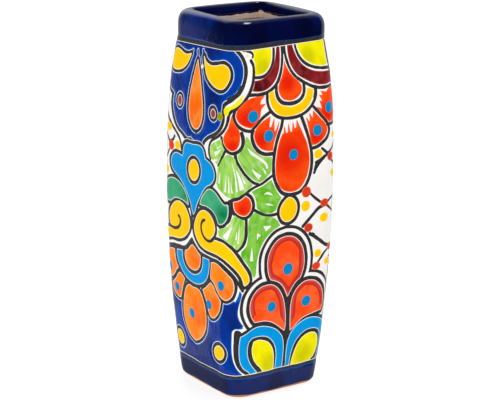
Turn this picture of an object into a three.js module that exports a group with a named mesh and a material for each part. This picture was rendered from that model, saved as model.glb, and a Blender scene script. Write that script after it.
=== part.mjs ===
// A tall square talavera vase, slab built: millimetres, +Z up, origin at the centre of its base.
//
// Four hand-moulded wall slabs stand on a base slab and meet at mitred corners. A thick rolled
// collar closes the top. Coils of clay are pressed into the inner seams to lute them together.
// Every plan section is a square with slightly bowed sides and rounded corners.

import * as THREE from 'three';

// Heights
const HEIGHT = 305;              // foot to the crest of the lip
const BELLY_HEIGHT = 171.3;      // where the vase is widest
const NECK_HEIGHT = 285;         // top of the walls, underside of the rim collar
const BASE_THICKNESS = 9;
const FOOT_ROUND = 3;            // rounding of the bottom edge

// Half widths of the clay, measured to the middle of a side
const FOOT_HALF = 42.85;
const BELLY_HALF = 53.3;
const NECK_HALF = 45.85;
const FOOT_SWELL = 2.03;         // how late the wall turns in towards the foot
const NECK_SWELL = 2.9;          // how late it turns in towards the neck

// Plan section, as fractions of the half width
const CORNER_RADIUS = 0.35;
const SIDE_BOW = 0.018;          // how far the middle of a side stands proud of its ends

// Lip: the crest of the rolled rim is a rounder square than the wall below it
const CREST_HALF = 39.4;
const CREST_CORNER_RADIUS = 0.277;
const CREST_BOW = 0.113;
const LIP_ROLL_HEIGHT = 12;      // height of the rounding outside and inside the crest
const LIP_THICKNESS = 12.6;      // thickness of the rolled rim at the start of the rounding

const WALL_THICKNESS = 7;
const JOINT_GAP = 0.3;           // clearance left between neighbouring pieces

const COIL_ARC = 0.9;            // how far a seam coil reaches each side of its corner, radians
const COIL_THICKNESS = 3.4;
const BASE_COIL_HEIGHT = 8;
const BASE_COIL_DEPTH = 7;

// Facets
const SIDE_STEPS = 4;            // along the bowed part of one side
const CORNER_STEPS = 4;          // round each half corner
const WALL_STEPS = 18;           // up a wall
const ROLL_STEPS = 6;            // over each half of the lip
const FOOT_ROUND_STEPS = 4;      // over the rounding of the bottom edge

const CLAY_COLOUR = 0xb89684;

const clay = () => new THREE.MeshStandardMaterial({
  color: CLAY_COLOUR, roughness: 0.9, metalness: 0,
});

// ---- plan section -------------------------------------------------------------------------

// The bowed square of half width 1: a side is an arc of radius sideRadius, a corner an arc of
// radius corner whose centre lies on the diagonal at (centre, -centre).
function planSection(corner, bow) {
  const sideRadius = (1 + bow * bow) / (2 * bow);
  const reach = sideRadius - 1;
  const centre = (Math.sqrt(2 * (sideRadius - corner) ** 2 - reach ** 2) - reach) / 2;
  const turn = Math.atan2(centre, centre + reach);
  return { corner, sideRadius, reach, centre, turn };
}

const WALL_SECTION = planSection(CORNER_RADIUS, SIDE_BOW);
const CREST_SECTION = planSection(CREST_CORNER_RADIUS, CREST_BOW);

// Where a step along the front side lies. step runs from -1, the left corner's diagonal, to
// +1, the right corner's. Returns the plan point at the half width, set in by inset.
function frontPoint(section, step, halfWidth, inset = 0) {
  const sideShare = SIDE_STEPS / (SIDE_STEPS + 2 * CORNER_STEPS);
  const away = Math.abs(step);
  const hand = Math.sign(step);
  const onSide = away <= sideShare;
  const angle = onSide
    ? section.turn * away / sideShare
    : section.turn + (Math.PI / 4 - section.turn) * (away - sideShare) / (1 - sideShare);
  const radius = onSide ? section.sideRadius : section.corner;
  const centreX = onSide ? 0 : section.centre;
  const centreY = onSide ? section.reach : -section.centre;
  const reach = halfWidth * radius - inset;
  return new THREE.Vector2(
    hand * (halfWidth * centreX + reach * Math.sin(angle)),
    halfWidth * centreY - reach * Math.cos(angle),
  );
}

// Steps along one side, corner diagonal to corner diagonal, both ends included.
function sideSteps() {
  const count = SIDE_STEPS + 2 * CORNER_STEPS;
  return Array.from({ length: count + 1 }, (_, i) => (2 * i) / count - 1);
}

const ORIGIN = new THREE.Vector2(0, 0);

// A full ring of plan points, one side after another, without repeating the corners.
function planRing(pointAt) {
  const ring = [];
  for (let side = 0; side < 4; side += 1) {
    for (const step of sideSteps().slice(0, -1)) {
      ring.push(pointAt(step).rotateAround(ORIGIN, side * Math.PI / 2));
    }
  }
  return ring;
}

const atHeight = (ring, z) => ring.map((p) => new THREE.Vector3(p.x, p.y, z));

// Half width of the wall's outer face at a height.
function wallHalfWidth(z) {
  if (z <= BELLY_HEIGHT) {
    const drop = (BELLY_HEIGHT - z) / BELLY_HEIGHT;
    return BELLY_HALF - (BELLY_HALF - FOOT_HALF) * drop ** FOOT_SWELL;
  }
  const rise = (z - BELLY_HEIGHT) / (NECK_HEIGHT - BELLY_HEIGHT);
  return BELLY_HALF - (BELLY_HALF - NECK_HALF) * rise ** NECK_SWELL;
}

// ---- closed bodies from rings -------------------------------------------------------------

// Joins rings of equal length into one closed body. Capped bodies end in a fan round the
// middle of the first and last ring, zipped ones in a strip between a ring's two halves, and
// looped ones run back into their first ring.
function bodyFromRings(rings, ends) {
  const size = rings[0].length;
  const points = rings.flat();
  const faces = [];
  const quad = (a, b, c, d) => faces.push(a, b, c, a, c, d);
  const joins = ends === 'looped' ? rings.length : rings.length - 1;
  for (let row = 0; row < joins; row += 1) {
    const low = row * size;
    const high = ((row + 1) % rings.length) * size;
    for (let i = 0; i < size; i += 1) {
      const next = (i + 1) % size;
      quad(low + i, low + next, high + next, high + i);
    }
  }
  const top = (rings.length - 1) * size;
  if (ends === 'zipped') {
    for (let i = 0; i + 1 < size / 2; i += 1) {
      const back = size - 1 - i;
      quad(i, back, back - 1, i + 1);
      quad(top + i, top + i + 1, top + back - 1, top + back);
    }
  }
  if (ends === 'capped') {
    const bottomMiddle = points.length;
    points.push(new THREE.Vector3(0, 0, rings[0][0].z));
    points.push(new THREE.Vector3(0, 0, rings[rings.length - 1][0].z));
    for (let i = 0; i < size; i += 1) {
      const next = (i + 1) % size;
      faces.push(bottomMiddle, next, i);
      faces.push(bottomMiddle + 1, top + i, top + next);
    }
  }
  return facingOut(new THREE.BufferGeometry().setFromPoints(points).setIndex(faces));
}

// Turns every face over when the body's volume comes out negative.
function facingOut(geometry) {
  const position = geometry.getAttribute('position');
  const index = geometry.getIndex();
  const corner = (i) => new THREE.Vector3().fromBufferAttribute(position, index.getX(i));
  let volume = 0;
  for (let i = 0; i < index.count; i += 3) {
    volume += corner(i).dot(corner(i + 1).cross(corner(i + 2)));
  }
  if (volume < 0) {
    for (let i = 0; i < index.count; i += 3) {
      const first = index.getX(i);
      index.setX(i, index.getX(i + 2));
      index.setX(i + 2, first);
    }
  }
  geometry.computeVertexNormals();
  return geometry;
}

function piece(name, geometry, quarterTurns = 0) {
  const mesh = new THREE.Mesh(geometry, clay());
  mesh.name = name;
  mesh.rotation.z = quarterTurns * Math.PI / 2;
  return mesh;
}

// Numbers spread evenly between two ends, both included.
const evenSteps = (low, high, steps) => Array.from(
  { length: steps + 1 },
  (_, i) => low + ((high - low) * i) / steps,
);

// ---- the pieces ---------------------------------------------------------------------------

// Base slab: the flat foot, its bottom edge rounded over.
function baseSlab() {
  const outline = (z, inset) => atHeight(
    planRing((step) => frontPoint(WALL_SECTION, step, wallHalfWidth(z), inset)),
    z,
  );
  const rounding = evenSteps(0, Math.PI / 2, FOOT_ROUND_STEPS).map((angle) => outline(
    FOOT_ROUND * (1 - Math.sin(angle)),
    FOOT_ROUND * (1 - Math.cos(angle)),
  ));
  return bodyFromRings([...rounding.reverse(), outline(BASE_THICKNESS, 0)], 'capped');
}

// One wall slab, cut back by half a joint gap at each mitred corner.
function wallSlab() {
  const trim = JOINT_GAP / 2;
  const ringAt = (z) => {
    const half = wallHalfWidth(z);
    const edge = (inset) => sideSteps().map((step) => {
      const p = frontPoint(WALL_SECTION, step, half, inset);
      const pull = Math.abs(step) === 1 ? trim * Math.SQRT1_2 : 0;
      return new THREE.Vector2(p.x - Math.sign(step) * pull, p.y - pull);
    });
    return atHeight([...edge(0), ...edge(WALL_THICKNESS).reverse()], z);
  };
  const low = BASE_THICKNESS + JOINT_GAP;
  return bodyFromRings(evenSteps(low, NECK_HEIGHT, WALL_STEPS).map(ringAt), 'zipped');
}

// Rim collar: one ring, rounded over the crest, thinning inside down to the wall below it.
function rimCollar() {
  const bottom = NECK_HEIGHT + JOINT_GAP;
  const shoulder = HEIGHT - LIP_ROLL_HEIGHT;
  const outer = (step) => frontPoint(WALL_SECTION, step, NECK_HALF, 0);
  const inner = (step) => frontPoint(WALL_SECTION, step, NECK_HALF, LIP_THICKNESS);
  const throat = (step) => frontPoint(WALL_SECTION, step, NECK_HALF, WALL_THICKNESS);
  const crest = (step) => frontPoint(CREST_SECTION, step, CREST_HALF, 0);
  const roll = (edge, angle) => atHeight(
    planRing((step) => crest(step).lerp(edge(step), Math.cos(angle))),
    shoulder + LIP_ROLL_HEIGHT * Math.sin(angle),
  );
  const angles = evenSteps(0, Math.PI / 2, ROLL_STEPS);
  const overOutside = angles.map((angle) => roll(outer, angle));
  const overInside = angles.slice(0, -1).reverse().map((angle) => roll(inner, angle));
  return bodyFromRings([
    atHeight(planRing(outer), bottom),
    ...overOutside,
    ...overInside,
    atHeight(planRing(throat), bottom),
  ], 'looped');
}

// Seam coil: clay pressed into an inner corner, from the base coil up to the collar. Its back
// follows the corner and its face is smeared flatter, thinnest at both edges.
function cornerCoil() {
  const arcSteps = 6;
  const thinEdge = 0.6;
  const gap = WALL_THICKNESS + JOINT_GAP;
  const ringAt = (z) => {
    const half = wallHalfWidth(z);
    const centre = half * WALL_SECTION.centre;
    const back = half * WALL_SECTION.corner - gap;
    const arc = (depthAt) => evenSteps(-1, 1, arcSteps).map((reach) => {
      const angle = Math.PI / 4 + reach * COIL_ARC / 2;
      const radius = back - depthAt(reach);
      return new THREE.Vector2(
        centre + radius * Math.sin(angle),
        -centre - radius * Math.cos(angle),
      );
    });
    const face = arc((reach) => thinEdge + (COIL_THICKNESS - thinEdge) * (1 - reach * reach));
    return atHeight([...arc(() => 0), ...face.reverse()], z);
  };
  const low = BASE_THICKNESS + 2 * JOINT_GAP + BASE_COIL_HEIGHT;
  const high = NECK_HEIGHT - JOINT_GAP;
  return bodyFromRings(evenSteps(low, high, WALL_STEPS).map(ringAt), 'zipped');
}

// Base coil: a hollowed fillet of clay round the inside of the foot.
function baseCoil() {
  const hollowSteps = 4;
  const thinEdge = 0.8;
  const low = BASE_THICKNESS + JOINT_GAP;
  const inset = WALL_THICKNESS + JOINT_GAP;
  const ringAt = (z, depth) => atHeight(
    planRing((step) => frontPoint(WALL_SECTION, step, wallHalfWidth(z), inset + depth)),
    z,
  );
  const hollow = evenSteps(0, Math.PI / 2, hollowSteps).map((angle) => ringAt(
    low + thinEdge + (BASE_COIL_HEIGHT - thinEdge) * (1 - Math.sin(angle)),
    thinEdge + (BASE_COIL_DEPTH - thinEdge) * (1 - Math.cos(angle)),
  ));
  return bodyFromRings([
    ringAt(low, 0),
    ringAt(low + BASE_COIL_HEIGHT, 0),
    ...hollow,
    ringAt(low, BASE_COIL_DEPTH),
  ], 'looped');
}

// ---- assembly -----------------------------------------------------------------------------

const SIDES = ['front', 'right', 'back', 'left'];
const CORNERS = ['front_right', 'back_right', 'back_left', 'front_left'];

const vase = new THREE.Group();
vase.add(piece('base_slab', baseSlab()));
SIDES.forEach((side, turns) => vase.add(piece(`${side}_wall`, wallSlab(), turns)));
vase.add(piece('rim_collar', rimCollar()));
vase.add(piece('base_coil', baseCoil()));
CORNERS.forEach((place, turns) => vase.add(piece(`corner_coil_${place}`, cornerCoil(), turns)));

export default vase;
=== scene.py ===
"""A talavera vase: a slab-built square clay body under painted tin glaze.

The CAD nodes stay as the bare clay. The glaze is laid over them as one flat design, drawn in
millimetres on the unrolled outside of two neighbouring sides, cut into one piece per paint and
wrapped round the body. The two far sides carry the same design, redrawn by the same hand.
"""
import math

import bpy
import numpy as np
from mathutils import Matrix, Vector
from mathutils.bvhtree import BVHTree
from mathutils.geometry import delaunay_2d_cdt
from mathutils.kdtree import KDTree


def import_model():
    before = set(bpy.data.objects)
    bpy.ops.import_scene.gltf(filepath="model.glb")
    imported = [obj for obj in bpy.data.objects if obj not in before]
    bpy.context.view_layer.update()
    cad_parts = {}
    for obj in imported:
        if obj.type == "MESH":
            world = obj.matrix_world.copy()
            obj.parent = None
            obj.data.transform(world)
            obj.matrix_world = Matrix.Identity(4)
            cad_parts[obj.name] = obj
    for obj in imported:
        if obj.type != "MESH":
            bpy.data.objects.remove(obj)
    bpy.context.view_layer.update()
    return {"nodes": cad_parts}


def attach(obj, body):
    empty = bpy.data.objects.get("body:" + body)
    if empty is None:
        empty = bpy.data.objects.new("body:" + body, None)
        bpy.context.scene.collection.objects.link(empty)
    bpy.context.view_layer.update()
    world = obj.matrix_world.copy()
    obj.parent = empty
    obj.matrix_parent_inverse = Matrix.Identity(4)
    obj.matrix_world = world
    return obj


MM = 0.001

# ---- drawing --------------------------------------------------------------------------------------

STEP = 0.8            # spacing of points along a painted outline, mm
HALO = 0.45           # white glaze left bare on each side of a black line
STROKE = 2.4          # usual width of a black line as drawn
LOADED = 0.25         # how much wider than drawn a loaded brush leaves its line
PERIOD = 197.43       # two sides of the vase: the design repeats once on the far two sides
SIDE = PERIOD / 2     # one side's share of the unrolled design

# Unevenness of a black line round a colour, of one on its own, and of the white beside that, mm
ROUND_SHAKE, LINE_SHAKE, WHITE_SHAKE = 0.2, 0.12, 0.1

# Pushing an outline outwards
FAN_STEP = 0.4        # a corner sharper than this, in radians, is rounded in steps of it
U_TURN = -0.999       # cosine of a turn right back on itself
FOLD_SHARE = 0.96     # a pushed point nearer to the outline than this share of its way,
FOLD_SLACK = 0.02     # less this many mm, has folded over and is dropped

# What is on top of what where painted shapes overlap
FIELD, CLEAR, BORDER, BAND, INK, MARGIN, COLOUR, DOT, OVERLINE = range(9)

shapes = []


def smooth_run(points, closed):
    """Points of a rounded line through the given points, about STEP apart."""
    p = np.array(points, float)
    if closed:
        p = np.vstack([p[-1], p, p[0], p[1]])
    else:
        p = np.vstack([2 * p[0] - p[1], p, 2 * p[-1] - p[-2]])
    gap = np.sqrt(np.maximum(np.hypot(*np.diff(p, axis=0).T), 1e-9))
    out = []
    for i in range(1, len(p) - 2):
        a, b, c = gap[i - 1], gap[i], gap[i + 1]
        leave = ((p[i] - p[i - 1]) / a - (p[i + 1] - p[i - 1]) / (a + b) + (p[i + 1] - p[i]) / b) * b
        reach = ((p[i + 1] - p[i]) / b - (p[i + 2] - p[i]) / (b + c) + (p[i + 2] - p[i + 1]) / c) * b
        steps = max(1, round(gap[i] ** 2 / STEP))
        for k in range(steps):
            t = k / steps
            out.append((2 * t**3 - 3 * t**2 + 1) * p[i] + (t**3 - 2 * t**2 + t) * leave
                       + (3 * t**2 - 2 * t**3) * p[i + 1] + (t**3 - t**2) * reach)
    if not closed:
        out.append(p[-2])
    return out


def outline(*runs):
    """Closed outline. One run is smooth all round; several meet at corners."""
    if len(runs) == 1:
        return np.array(smooth_run(runs[0], True))
    out = []
    for run, following in zip(runs, runs[1:] + runs[:1]):
        out += smooth_run(list(run) + [following[0]], False)[:-1]
    return np.array(out)


def oval(centre, radii, tilt=0.0):
    """An ellipse, tilted by degrees to the left."""
    count = max(12, round(math.pi * (radii[0] + radii[1]) / STEP))
    angle = np.linspace(0, 2 * math.pi, count, endpoint=False)
    x = radii[0] * np.cos(angle)
    y = radii[1] * np.sin(angle)
    turn = math.radians(tilt)
    return np.stack([centre[0] + x * math.cos(turn) - y * math.sin(turn),
                     centre[1] + x * math.sin(turn) + y * math.cos(turn)], 1)


def hand_wobble(points):
    """A slow, repeatable unevenness between -1 and 1, as of a hand-held brush."""
    u, z = points[:, 0], points[:, 1]
    return np.sin(0.41 * u + 1.7 * np.sin(0.23 * z)) * np.cos(0.37 * z + 1.3 * np.sin(0.19 * u))


def turned_left(loop):
    """The loop, walked with its inside on the left."""
    x, y = loop.T
    is_left = np.dot(x, np.roll(y, -1)) - np.dot(y, np.roll(x, -1)) > 0
    return loop if is_left else loop[::-1]


def distance_to_loop(points, loop):
    """How far each point lies from the nearest edge of a loop."""
    edge = np.roll(loop, -1, 0) - loop
    square = np.maximum((edge**2).sum(1), 1e-12)
    offset = points[:, None] - loop[None]
    along = np.clip((offset * edge[None]).sum(2) / square, 0, 1)
    return np.hypot(*(offset - along[..., None] * edge[None]).transpose(2, 0, 1)).min(1)


def grow(loop, reach, wobble=0.0):
    """A left-turning outline pushed outwards, with round corners and without folds."""
    edge = np.roll(loop, -1, 0) - loop
    edge /= np.maximum(np.hypot(*edge.T), 1e-9)[:, None]
    normal = np.stack([edge[:, 1], -edge[:, 0]], 1)
    base, push = [], []
    for i, after in enumerate(normal):
        before = normal[i - 1]
        cross = before[0] * after[1] - before[1] * after[0]
        turn = math.pi if before @ after < U_TURN else math.atan2(cross, before @ after)
        steps = math.ceil(turn / FAN_STEP) if turn > FAN_STEP else 0
        for k in range(steps + 1):
            swing = turn * k / steps if steps else turn / 2
            c, s = math.cos(swing), math.sin(swing)
            base.append(loop[i])
            push.append((before[0] * c - before[1] * s, before[0] * s + before[1] * c))
    base, push = np.array(base), np.array(push)
    far = reach + wobble * hand_wobble(base)
    moved = base + push * far[:, None]
    return moved[distance_to_loop(moved, loop) > FOLD_SHARE * far - FOLD_SLACK]


def add(layer, paint, loop, **looks):
    """Lays a shape of one paint on a layer. Its looks may be a heart (u, z and radius of where
    the paint is deepest), a tone from 0 to 1, and the angle of the brush in degrees."""
    shapes.append({'layer': layer, 'paint': paint, 'loop': loop, **looks})


def cell(paint, loop, line=STROKE, above=0, **looks):
    """A colour patch inside its own black line, with bare white each side of the line. It lies
    as many layers above the usual ones as above says."""
    loop = turned_left(loop)
    reach = HALO + line + LOADED
    add(above + CLEAR, 'white', grow(loop, reach + HALO, ROUND_SHAKE))
    add(above + INK, 'black', grow(loop, reach, ROUND_SHAKE))
    add(above + MARGIN, 'white', grow(loop, HALO))
    add(above + COLOUR, paint, loop, **looks)


def brush_line(points, width=STROKE, layer=INK, clear=False):
    """An open black line with round ends, on white of its own if clear."""
    width += LOADED
    spine = np.array(smooth_run(points, False))
    there_and_back = np.vstack([spine, spine[-2:0:-1]])
    if clear:
        add(CLEAR, 'white', grow(there_and_back, width / 2 + HALO, WHITE_SHAKE))
    add(layer, 'black', grow(there_and_back, width / 2, LINE_SHAKE))


def dot(paint, centre, radii, layer=DOT):
    """An oval dab of paint without a line round it."""
    add(layer, paint, oval(centre, radii))


def streak(root, tip, width, bend):
    """A white streak left by a dry brush: a wedge, pointed at the root and blunt at the tip."""
    root, tip = np.array(root, float), np.array(tip, float)
    side = np.array([root[1] - tip[1], tip[0] - root[0]])
    side /= np.hypot(*side)
    middle = (root + tip) / 2 + side * bend
    end, waist = side * width / 2, side * width * 0.32
    add(DOT, 'white', outline([root, middle + waist, tip + end], [tip + end * 0.98, tip - end],
                              [tip - end, middle - waist]))


# How far a paint laid without an outline of its own spreads past it, mm
LEAF_SPREAD, PETAL_SPREAD, LIME_SPREAD = 0.4, 0.35, 0.5


# ---- left side ------------------------------------------------------------------------------------

def cobalt_crown():
    """The cobalt field that hangs from the rim."""
    field = outline(
        [(-5.5, 289)],
        [(-5.5, 284), (-1.5, 281.8), (3, 277.6), (5.7, 272.5), (6.5, 266.5), (5.6, 260.5),
         (3, 254.5), (-1.5, 249.6), (-6.5, 246), (-10, 243.8)],
        [(-11.6, 241.8), (-12, 236), (-11.6, 230.5), (-13.2, 226), (-17, 221.5), (-22, 218.3),
         (-28, 215.6), (-33, 212.6), (-36.3, 209.5)],
        [(-37.5, 207.3), (-42, 206.7), (-47, 206.7), (-50.5, 207.7), (-54, 209), (-58, 208.2)],
        [(-61, 208.8), (-65, 211), (-71, 213.5), (-75.8, 217.5), (-79.3, 223), (-81.6, 229.5),
         (-82, 235)],
        [(-80.7, 239.8), (-84.5, 241.8), (-89, 243.8), (-93.3, 247.5), (-96, 253), (-97.6, 260),
         (-98, 268), (-97, 276)],
        [(-95, 289)])
    cell('cobalt', field, line=2.9, above=FIELD - COLOUR)
    brush_line([(5.2, 255.5), (3.2, 251.5), (-0.5, 248.2), (-5, 246)], 3.4)


def crown_motifs():
    """What is painted on that field: two golden commas, an orange drop and beads."""
    comma = outline(
        [(-41.7, 274), (-39.5, 271.6), (-36, 269.8), (-31, 268.7), (-26, 268.9), (-20.5, 269.9),
         (-15, 271.2), (-10.5, 271.4), (-7, 269.8), (-5.2, 266.8), (-5, 263.5), (-6, 260), (-8, 256.6),
         (-11, 253.8), (-15, 252.8), (-20, 253), (-25, 254.2), (-30, 256.5), (-34.5, 259.7),
         (-37.6, 264), (-40, 269.3)],
        [(-41.8, 273.6)])
    cell('golden', comma, line=2.6)
    brush_line([(-41.9, 273), (-42.8, 276), (-44.4, 278.6)], 2.2, clear=True)
    far_comma = outline(
        [(-62.3, 273.6), (-66, 272.6), (-71, 272), (-76, 272.9), (-80.5, 274.2), (-85, 274.9),
         (-89, 274), (-92.3, 271), (-93.5, 266.5), (-92, 262), (-88, 259.3), (-82.5, 258.6),
         (-77, 259.4), (-72.5, 261), (-68, 263.8), (-65, 267.5), (-63, 271.4)],
        [(-62.3, 273.2)])
    cell('golden', far_comma, line=2.2)
    brush_line([(-62, 273.2), (-61, 275.2), (-60.3, 276.6)], 2.2, clear=True)
    drop = outline(
        [(-50.7, 270.3), (-49, 266.8), (-46.5, 261.5), (-44, 255.5), (-41.7, 248.5), (-39.5, 241),
         (-38.3, 234), (-38.3, 228.3), (-39.7, 223), (-42, 219.3), (-45, 217), (-49, 216.7),
         (-53, 218.9), (-56, 223.5), (-57.5, 229.5), (-57.8, 236.5), (-57, 244.5), (-55.3, 253),
         (-53.5, 260.5), (-52, 266.5)],
        [(-50.9, 270.2)])
    cell('orange', drop, line=2.5, heart=(-48, 228, 26))
    brush_line([(-51.2, 270.5), (-51.6, 274), (-52.7, 277.6)], 1.9, clear=True)
    # Painted highlight: a small white oval on the cobalt between the drop and the near comma stands for
    # a soft glint of light on the glaze.
    add(COLOUR, 'white', oval((-43.2, 266.2), (2.1, 1.6), 30))
    brush_line([(-48, 215.2), (-46.2, 213.9), (-44.6, 215.2)], 1.9)
    cell('rose', oval((-72.1, 235.1), (3.1, 4.1)), line=2.1)
    cell('rose', oval((-23.1, 232.8), (3.3, 3.4)), line=2.3)
    dot('olive', (-13.7, 232), (3.5, 3.3), layer=COLOUR)
    lime_strip = outline(
        [(6.4, 249.4), (3.6, 246.6), (0.9, 243.6), (-2.2, 241.3), (-5.6, 240), (-8.2, 239.2)],
        [(-9, 237.8), (-8.7, 235.3), (-7.4, 234)],
        [(-5.9, 234.1), (-5.3, 236), (-4.2, 238.6), (-1, 239.9), (2.4, 242.3), (5.2, 245.5)])
    add(COLOUR, 'lime', grow(turned_left(lime_strip), LIME_SPREAD))


def crown_border():
    """The outer line of the white band that runs round the cobalt field."""
    brush_line([(12.9, 275.6), (15.2, 272), (15.9, 266), (15.3, 260), (13.7, 255), (11.6, 250.6),
                (8.6, 246.2), (5.2, 242.2), (1.6, 239.3), (-2.2, 237.6)], 2.5)
    brush_line([(-2.2, 237.6), (-4.4, 235), (-5.4, 230), (-7, 225), (-10.2, 220.6), (-14.5, 217),
                (-19.5, 214.2), (-24, 211.6), (-26.6, 208.2), (-27.6, 204), (-27, 200), (-25.2, 197.2)],
               2.3)
    brush_line([(-98.5, 225), (-92, 221.6), (-86.5, 217), (-81, 212.6), (-75.5, 208.9),
                (-71, 205.4), (-68.2, 201), (-67.3, 196.5)], 2.3)
    brush_line([(8.6, 282.9), (12.3, 282), (14.9, 280), (14.6, 278)], 1.9)
    dot('black', (6.4, 283), (1.6, 0.9))
    dot('rose_mist', (9.6, 279.2), (1.6, 1.5))


def blue_flower():
    """The blue flower with its golden middle, in the centre of the side."""
    flower = outline(
        [(-66.4, 190.7), (-64.9, 193), (-64.2, 197), (-62.7, 200.5), (-59.5, 202.8), (-55, 203.2),
         (-50, 203.4), (-44, 204.1), (-39.3, 203.9), (-36, 202), (-34, 198.5)],
        [(-33, 195.2), (-30, 194.3), (-26, 193), (-22.3, 190.2), (-20.1, 186), (-20.4, 182),
         (-22.8, 178.4), (-26.3, 175.8), (-30, 174), (-34, 170.6), (-38, 165.5), (-42, 160),
         (-45.3, 154.3), (-47.3, 149.7)],
        [(-49.6, 146.6), (-51.5, 150), (-53.7, 155.6), (-57, 160.6), (-61, 165.2), (-65, 169),
         (-70, 172.4), (-75, 175), (-79.4, 177.2), (-82.3, 180.6), (-82.8, 184.2), (-81.2, 188),
         (-78, 190.9), (-74.3, 191.9), (-70, 191.7)])
    cell('sky', flower)
    cell('golden', oval((-48.9, 183), (7.1, 8.5), -16), line=2.7, above=COLOUR)


def teal_leaves():
    """The pair of leaves at its foot."""
    right = outline(
        [(-39.9, 157.3), (-38, 161.8), (-33.8, 167), (-29.3, 171), (-25, 172.3), (-20, 171.3),
         (-15, 168.6), (-11, 165.5), (-7.6, 163.2)],
        [(-4.7, 163.6), (-4.4, 158), (-5.4, 153), (-8, 149), (-11.2, 147), (-14.2, 147.1),
         (-15.8, 149.6), (-17.8, 152.6), (-21, 155), (-26, 156.8), (-32, 157.6), (-36, 157.2)])
    cell('teal', right, heart=(-8, 153, 14))
    brush_line([(-2.4, 165.6), (-1.9, 160), (-2.6, 154), (-5.2, 149), (-9, 146.2), (-12.6, 144.4)])
    left = outline(
        [(-57.2, 153), (-58.3, 157.8), (-61, 162), (-65, 165.7), (-70, 168.4), (-75, 169.8),
         (-80, 170.1), (-84.5, 169.2), (-89, 167), (-93.5, 163.5), (-96, 158.5), (-96.3, 154),
         (-94, 150.9), (-88.5, 150.2), (-84, 150.5), (-80.7, 152.6), (-76.8, 154.6), (-72, 155.2),
         (-66, 155.1), (-61, 154.2)])
    cell('teal', left, heart=(-62, 160, 12))


def scrolls():
    """The two golden scrolls, with the curl inside each."""
    right = outline(
        [(-33, 153.4), (-28, 152.4), (-23.3, 149.6), (-20.2, 145.6), (-19.1, 141.6), (-20, 138),
         (-22.3, 134.9)],
        [(-25.5, 132.6)],
        [(-24.2, 130.7), (-20.3, 131.9), (-14.5, 132.4), (-9.2, 132), (-5, 129.7), (-1, 126.4),
         (2.2, 122.3), (5.3, 117.6), (8.2, 113.2), (11, 108.8), (12.8, 104.4), (13, 101)],
        [(11.2, 99), (9.3, 98), (8.5, 99.6), (7.7, 102.8), (5.9, 106.6), (2.9, 110.5), (-1, 114.4),
         (-5.3, 117.6), (-10, 119.9), (-15, 121), (-22, 121.3), (-30, 121.4), (-36, 122.1),
         (-41, 124.1), (-45, 127.5), (-47.6, 131.6), (-48.5, 136), (-47.5, 140.4), (-45, 145.2),
         (-42, 149), (-38, 152)])
    cell('golden', right, line=2.6)
    brush_line([(-33.4, 145.7), (-36.6, 143.9), (-38.5, 139.8), (-37.7, 134.9), (-34.2, 131.1),
                (-29.3, 129.5), (-24.8, 130.4), (-21.5, 132.8)], 2.3, OVERLINE)
    left = outline(
        [(-70, 152.7), (-64.3, 151.2), (-60, 148), (-57, 144), (-55.4, 139), (-55.6, 134.4),
         (-57.7, 130.4), (-61.3, 126.8), (-66, 123.8), (-71, 121.9), (-77, 121), (-84, 120.3),
         (-89, 119)],
        [(-93.4, 118.2), (-94.5, 121.5), (-93.2, 125.6)],
        [(-89, 126.9), (-85, 127.2)],
        [(-84.2, 129.6), (-86, 132.6), (-86.7, 136.5), (-85.7, 141), (-83.3, 145.2), (-80, 148.6),
         (-75.4, 151.5)])
    cell('golden', left)
    brush_line([(-72.2, 140.2), (-70.3, 139.3), (-69.6, 136), (-70.8, 132.6), (-74.2, 129.9),
                (-79, 128.5), (-84, 128.7), (-88, 129.2)], 2.3, OVERLINE)
    brush_line([(-51.8, 149), (-52, 142), (-52.2, 135)], 2.6)


def fan_border():
    """The double line over the fan."""
    brush_line([(-102, 108), (-96, 109.7), (-92, 111), (-87, 112.7), (-80, 114.2), (-73, 114.8),
                (-66.5, 115.1), (-62, 116.6), (-58, 120), (-55, 123.2), (-52.4, 125.6)], 2.5)
    brush_line([(-52.6, 125.6), (-49, 122.4), (-45, 119.3), (-41, 117.2), (-36, 116.3), (-28, 115.8),
                (-20, 115.7), (-14, 115.3), (-9, 113.3), (-4, 109.7), (0, 106), (3.2, 101.5),
                (5.6, 97.5), (7.6, 93.8)], 2.3)


def fan_middle():
    """An orange arch inside a blue one."""
    arch = outline(
        [(-52, 120.6), (-48, 118.6), (-44, 115.9)],
        [(-40.9, 114.6), (-40.8, 110), (-42, 106), (-44.4, 102.6), (-48.3, 100.4), (-53, 99.7),
         (-58, 100.6), (-61.6, 103), (-63.7, 106.6), (-64.2, 110)],
        [(-63.2, 113.2), (-60, 114.4), (-57.5, 116.3), (-55, 118.8)])
    cell('orange', arch, heart=(-46, 111, 12))
    band = outline(
        [(-76.3, 111)],
        [(-76.8, 107), (-75.5, 102.5), (-72.4, 98), (-68, 93.7), (-62, 90.4), (-56, 89),
         (-50, 88.6), (-44, 89.6), (-38, 92.1), (-33.5, 95.6), (-30.5, 100), (-28.6, 105.5),
         (-27.9, 110)],
        [(-28.2, 113.8)],
        [(-36.8, 113.8), (-37.1, 109), (-38.5, 104.2), (-41, 100.6), (-44.5, 98), (-49, 96.1),
         (-54, 95.5), (-59, 96.4), (-63.5, 98.6), (-66.7, 102), (-68.2, 106)],
        [(-68.3, 112.2)])
    cell('sky', band)


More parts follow.
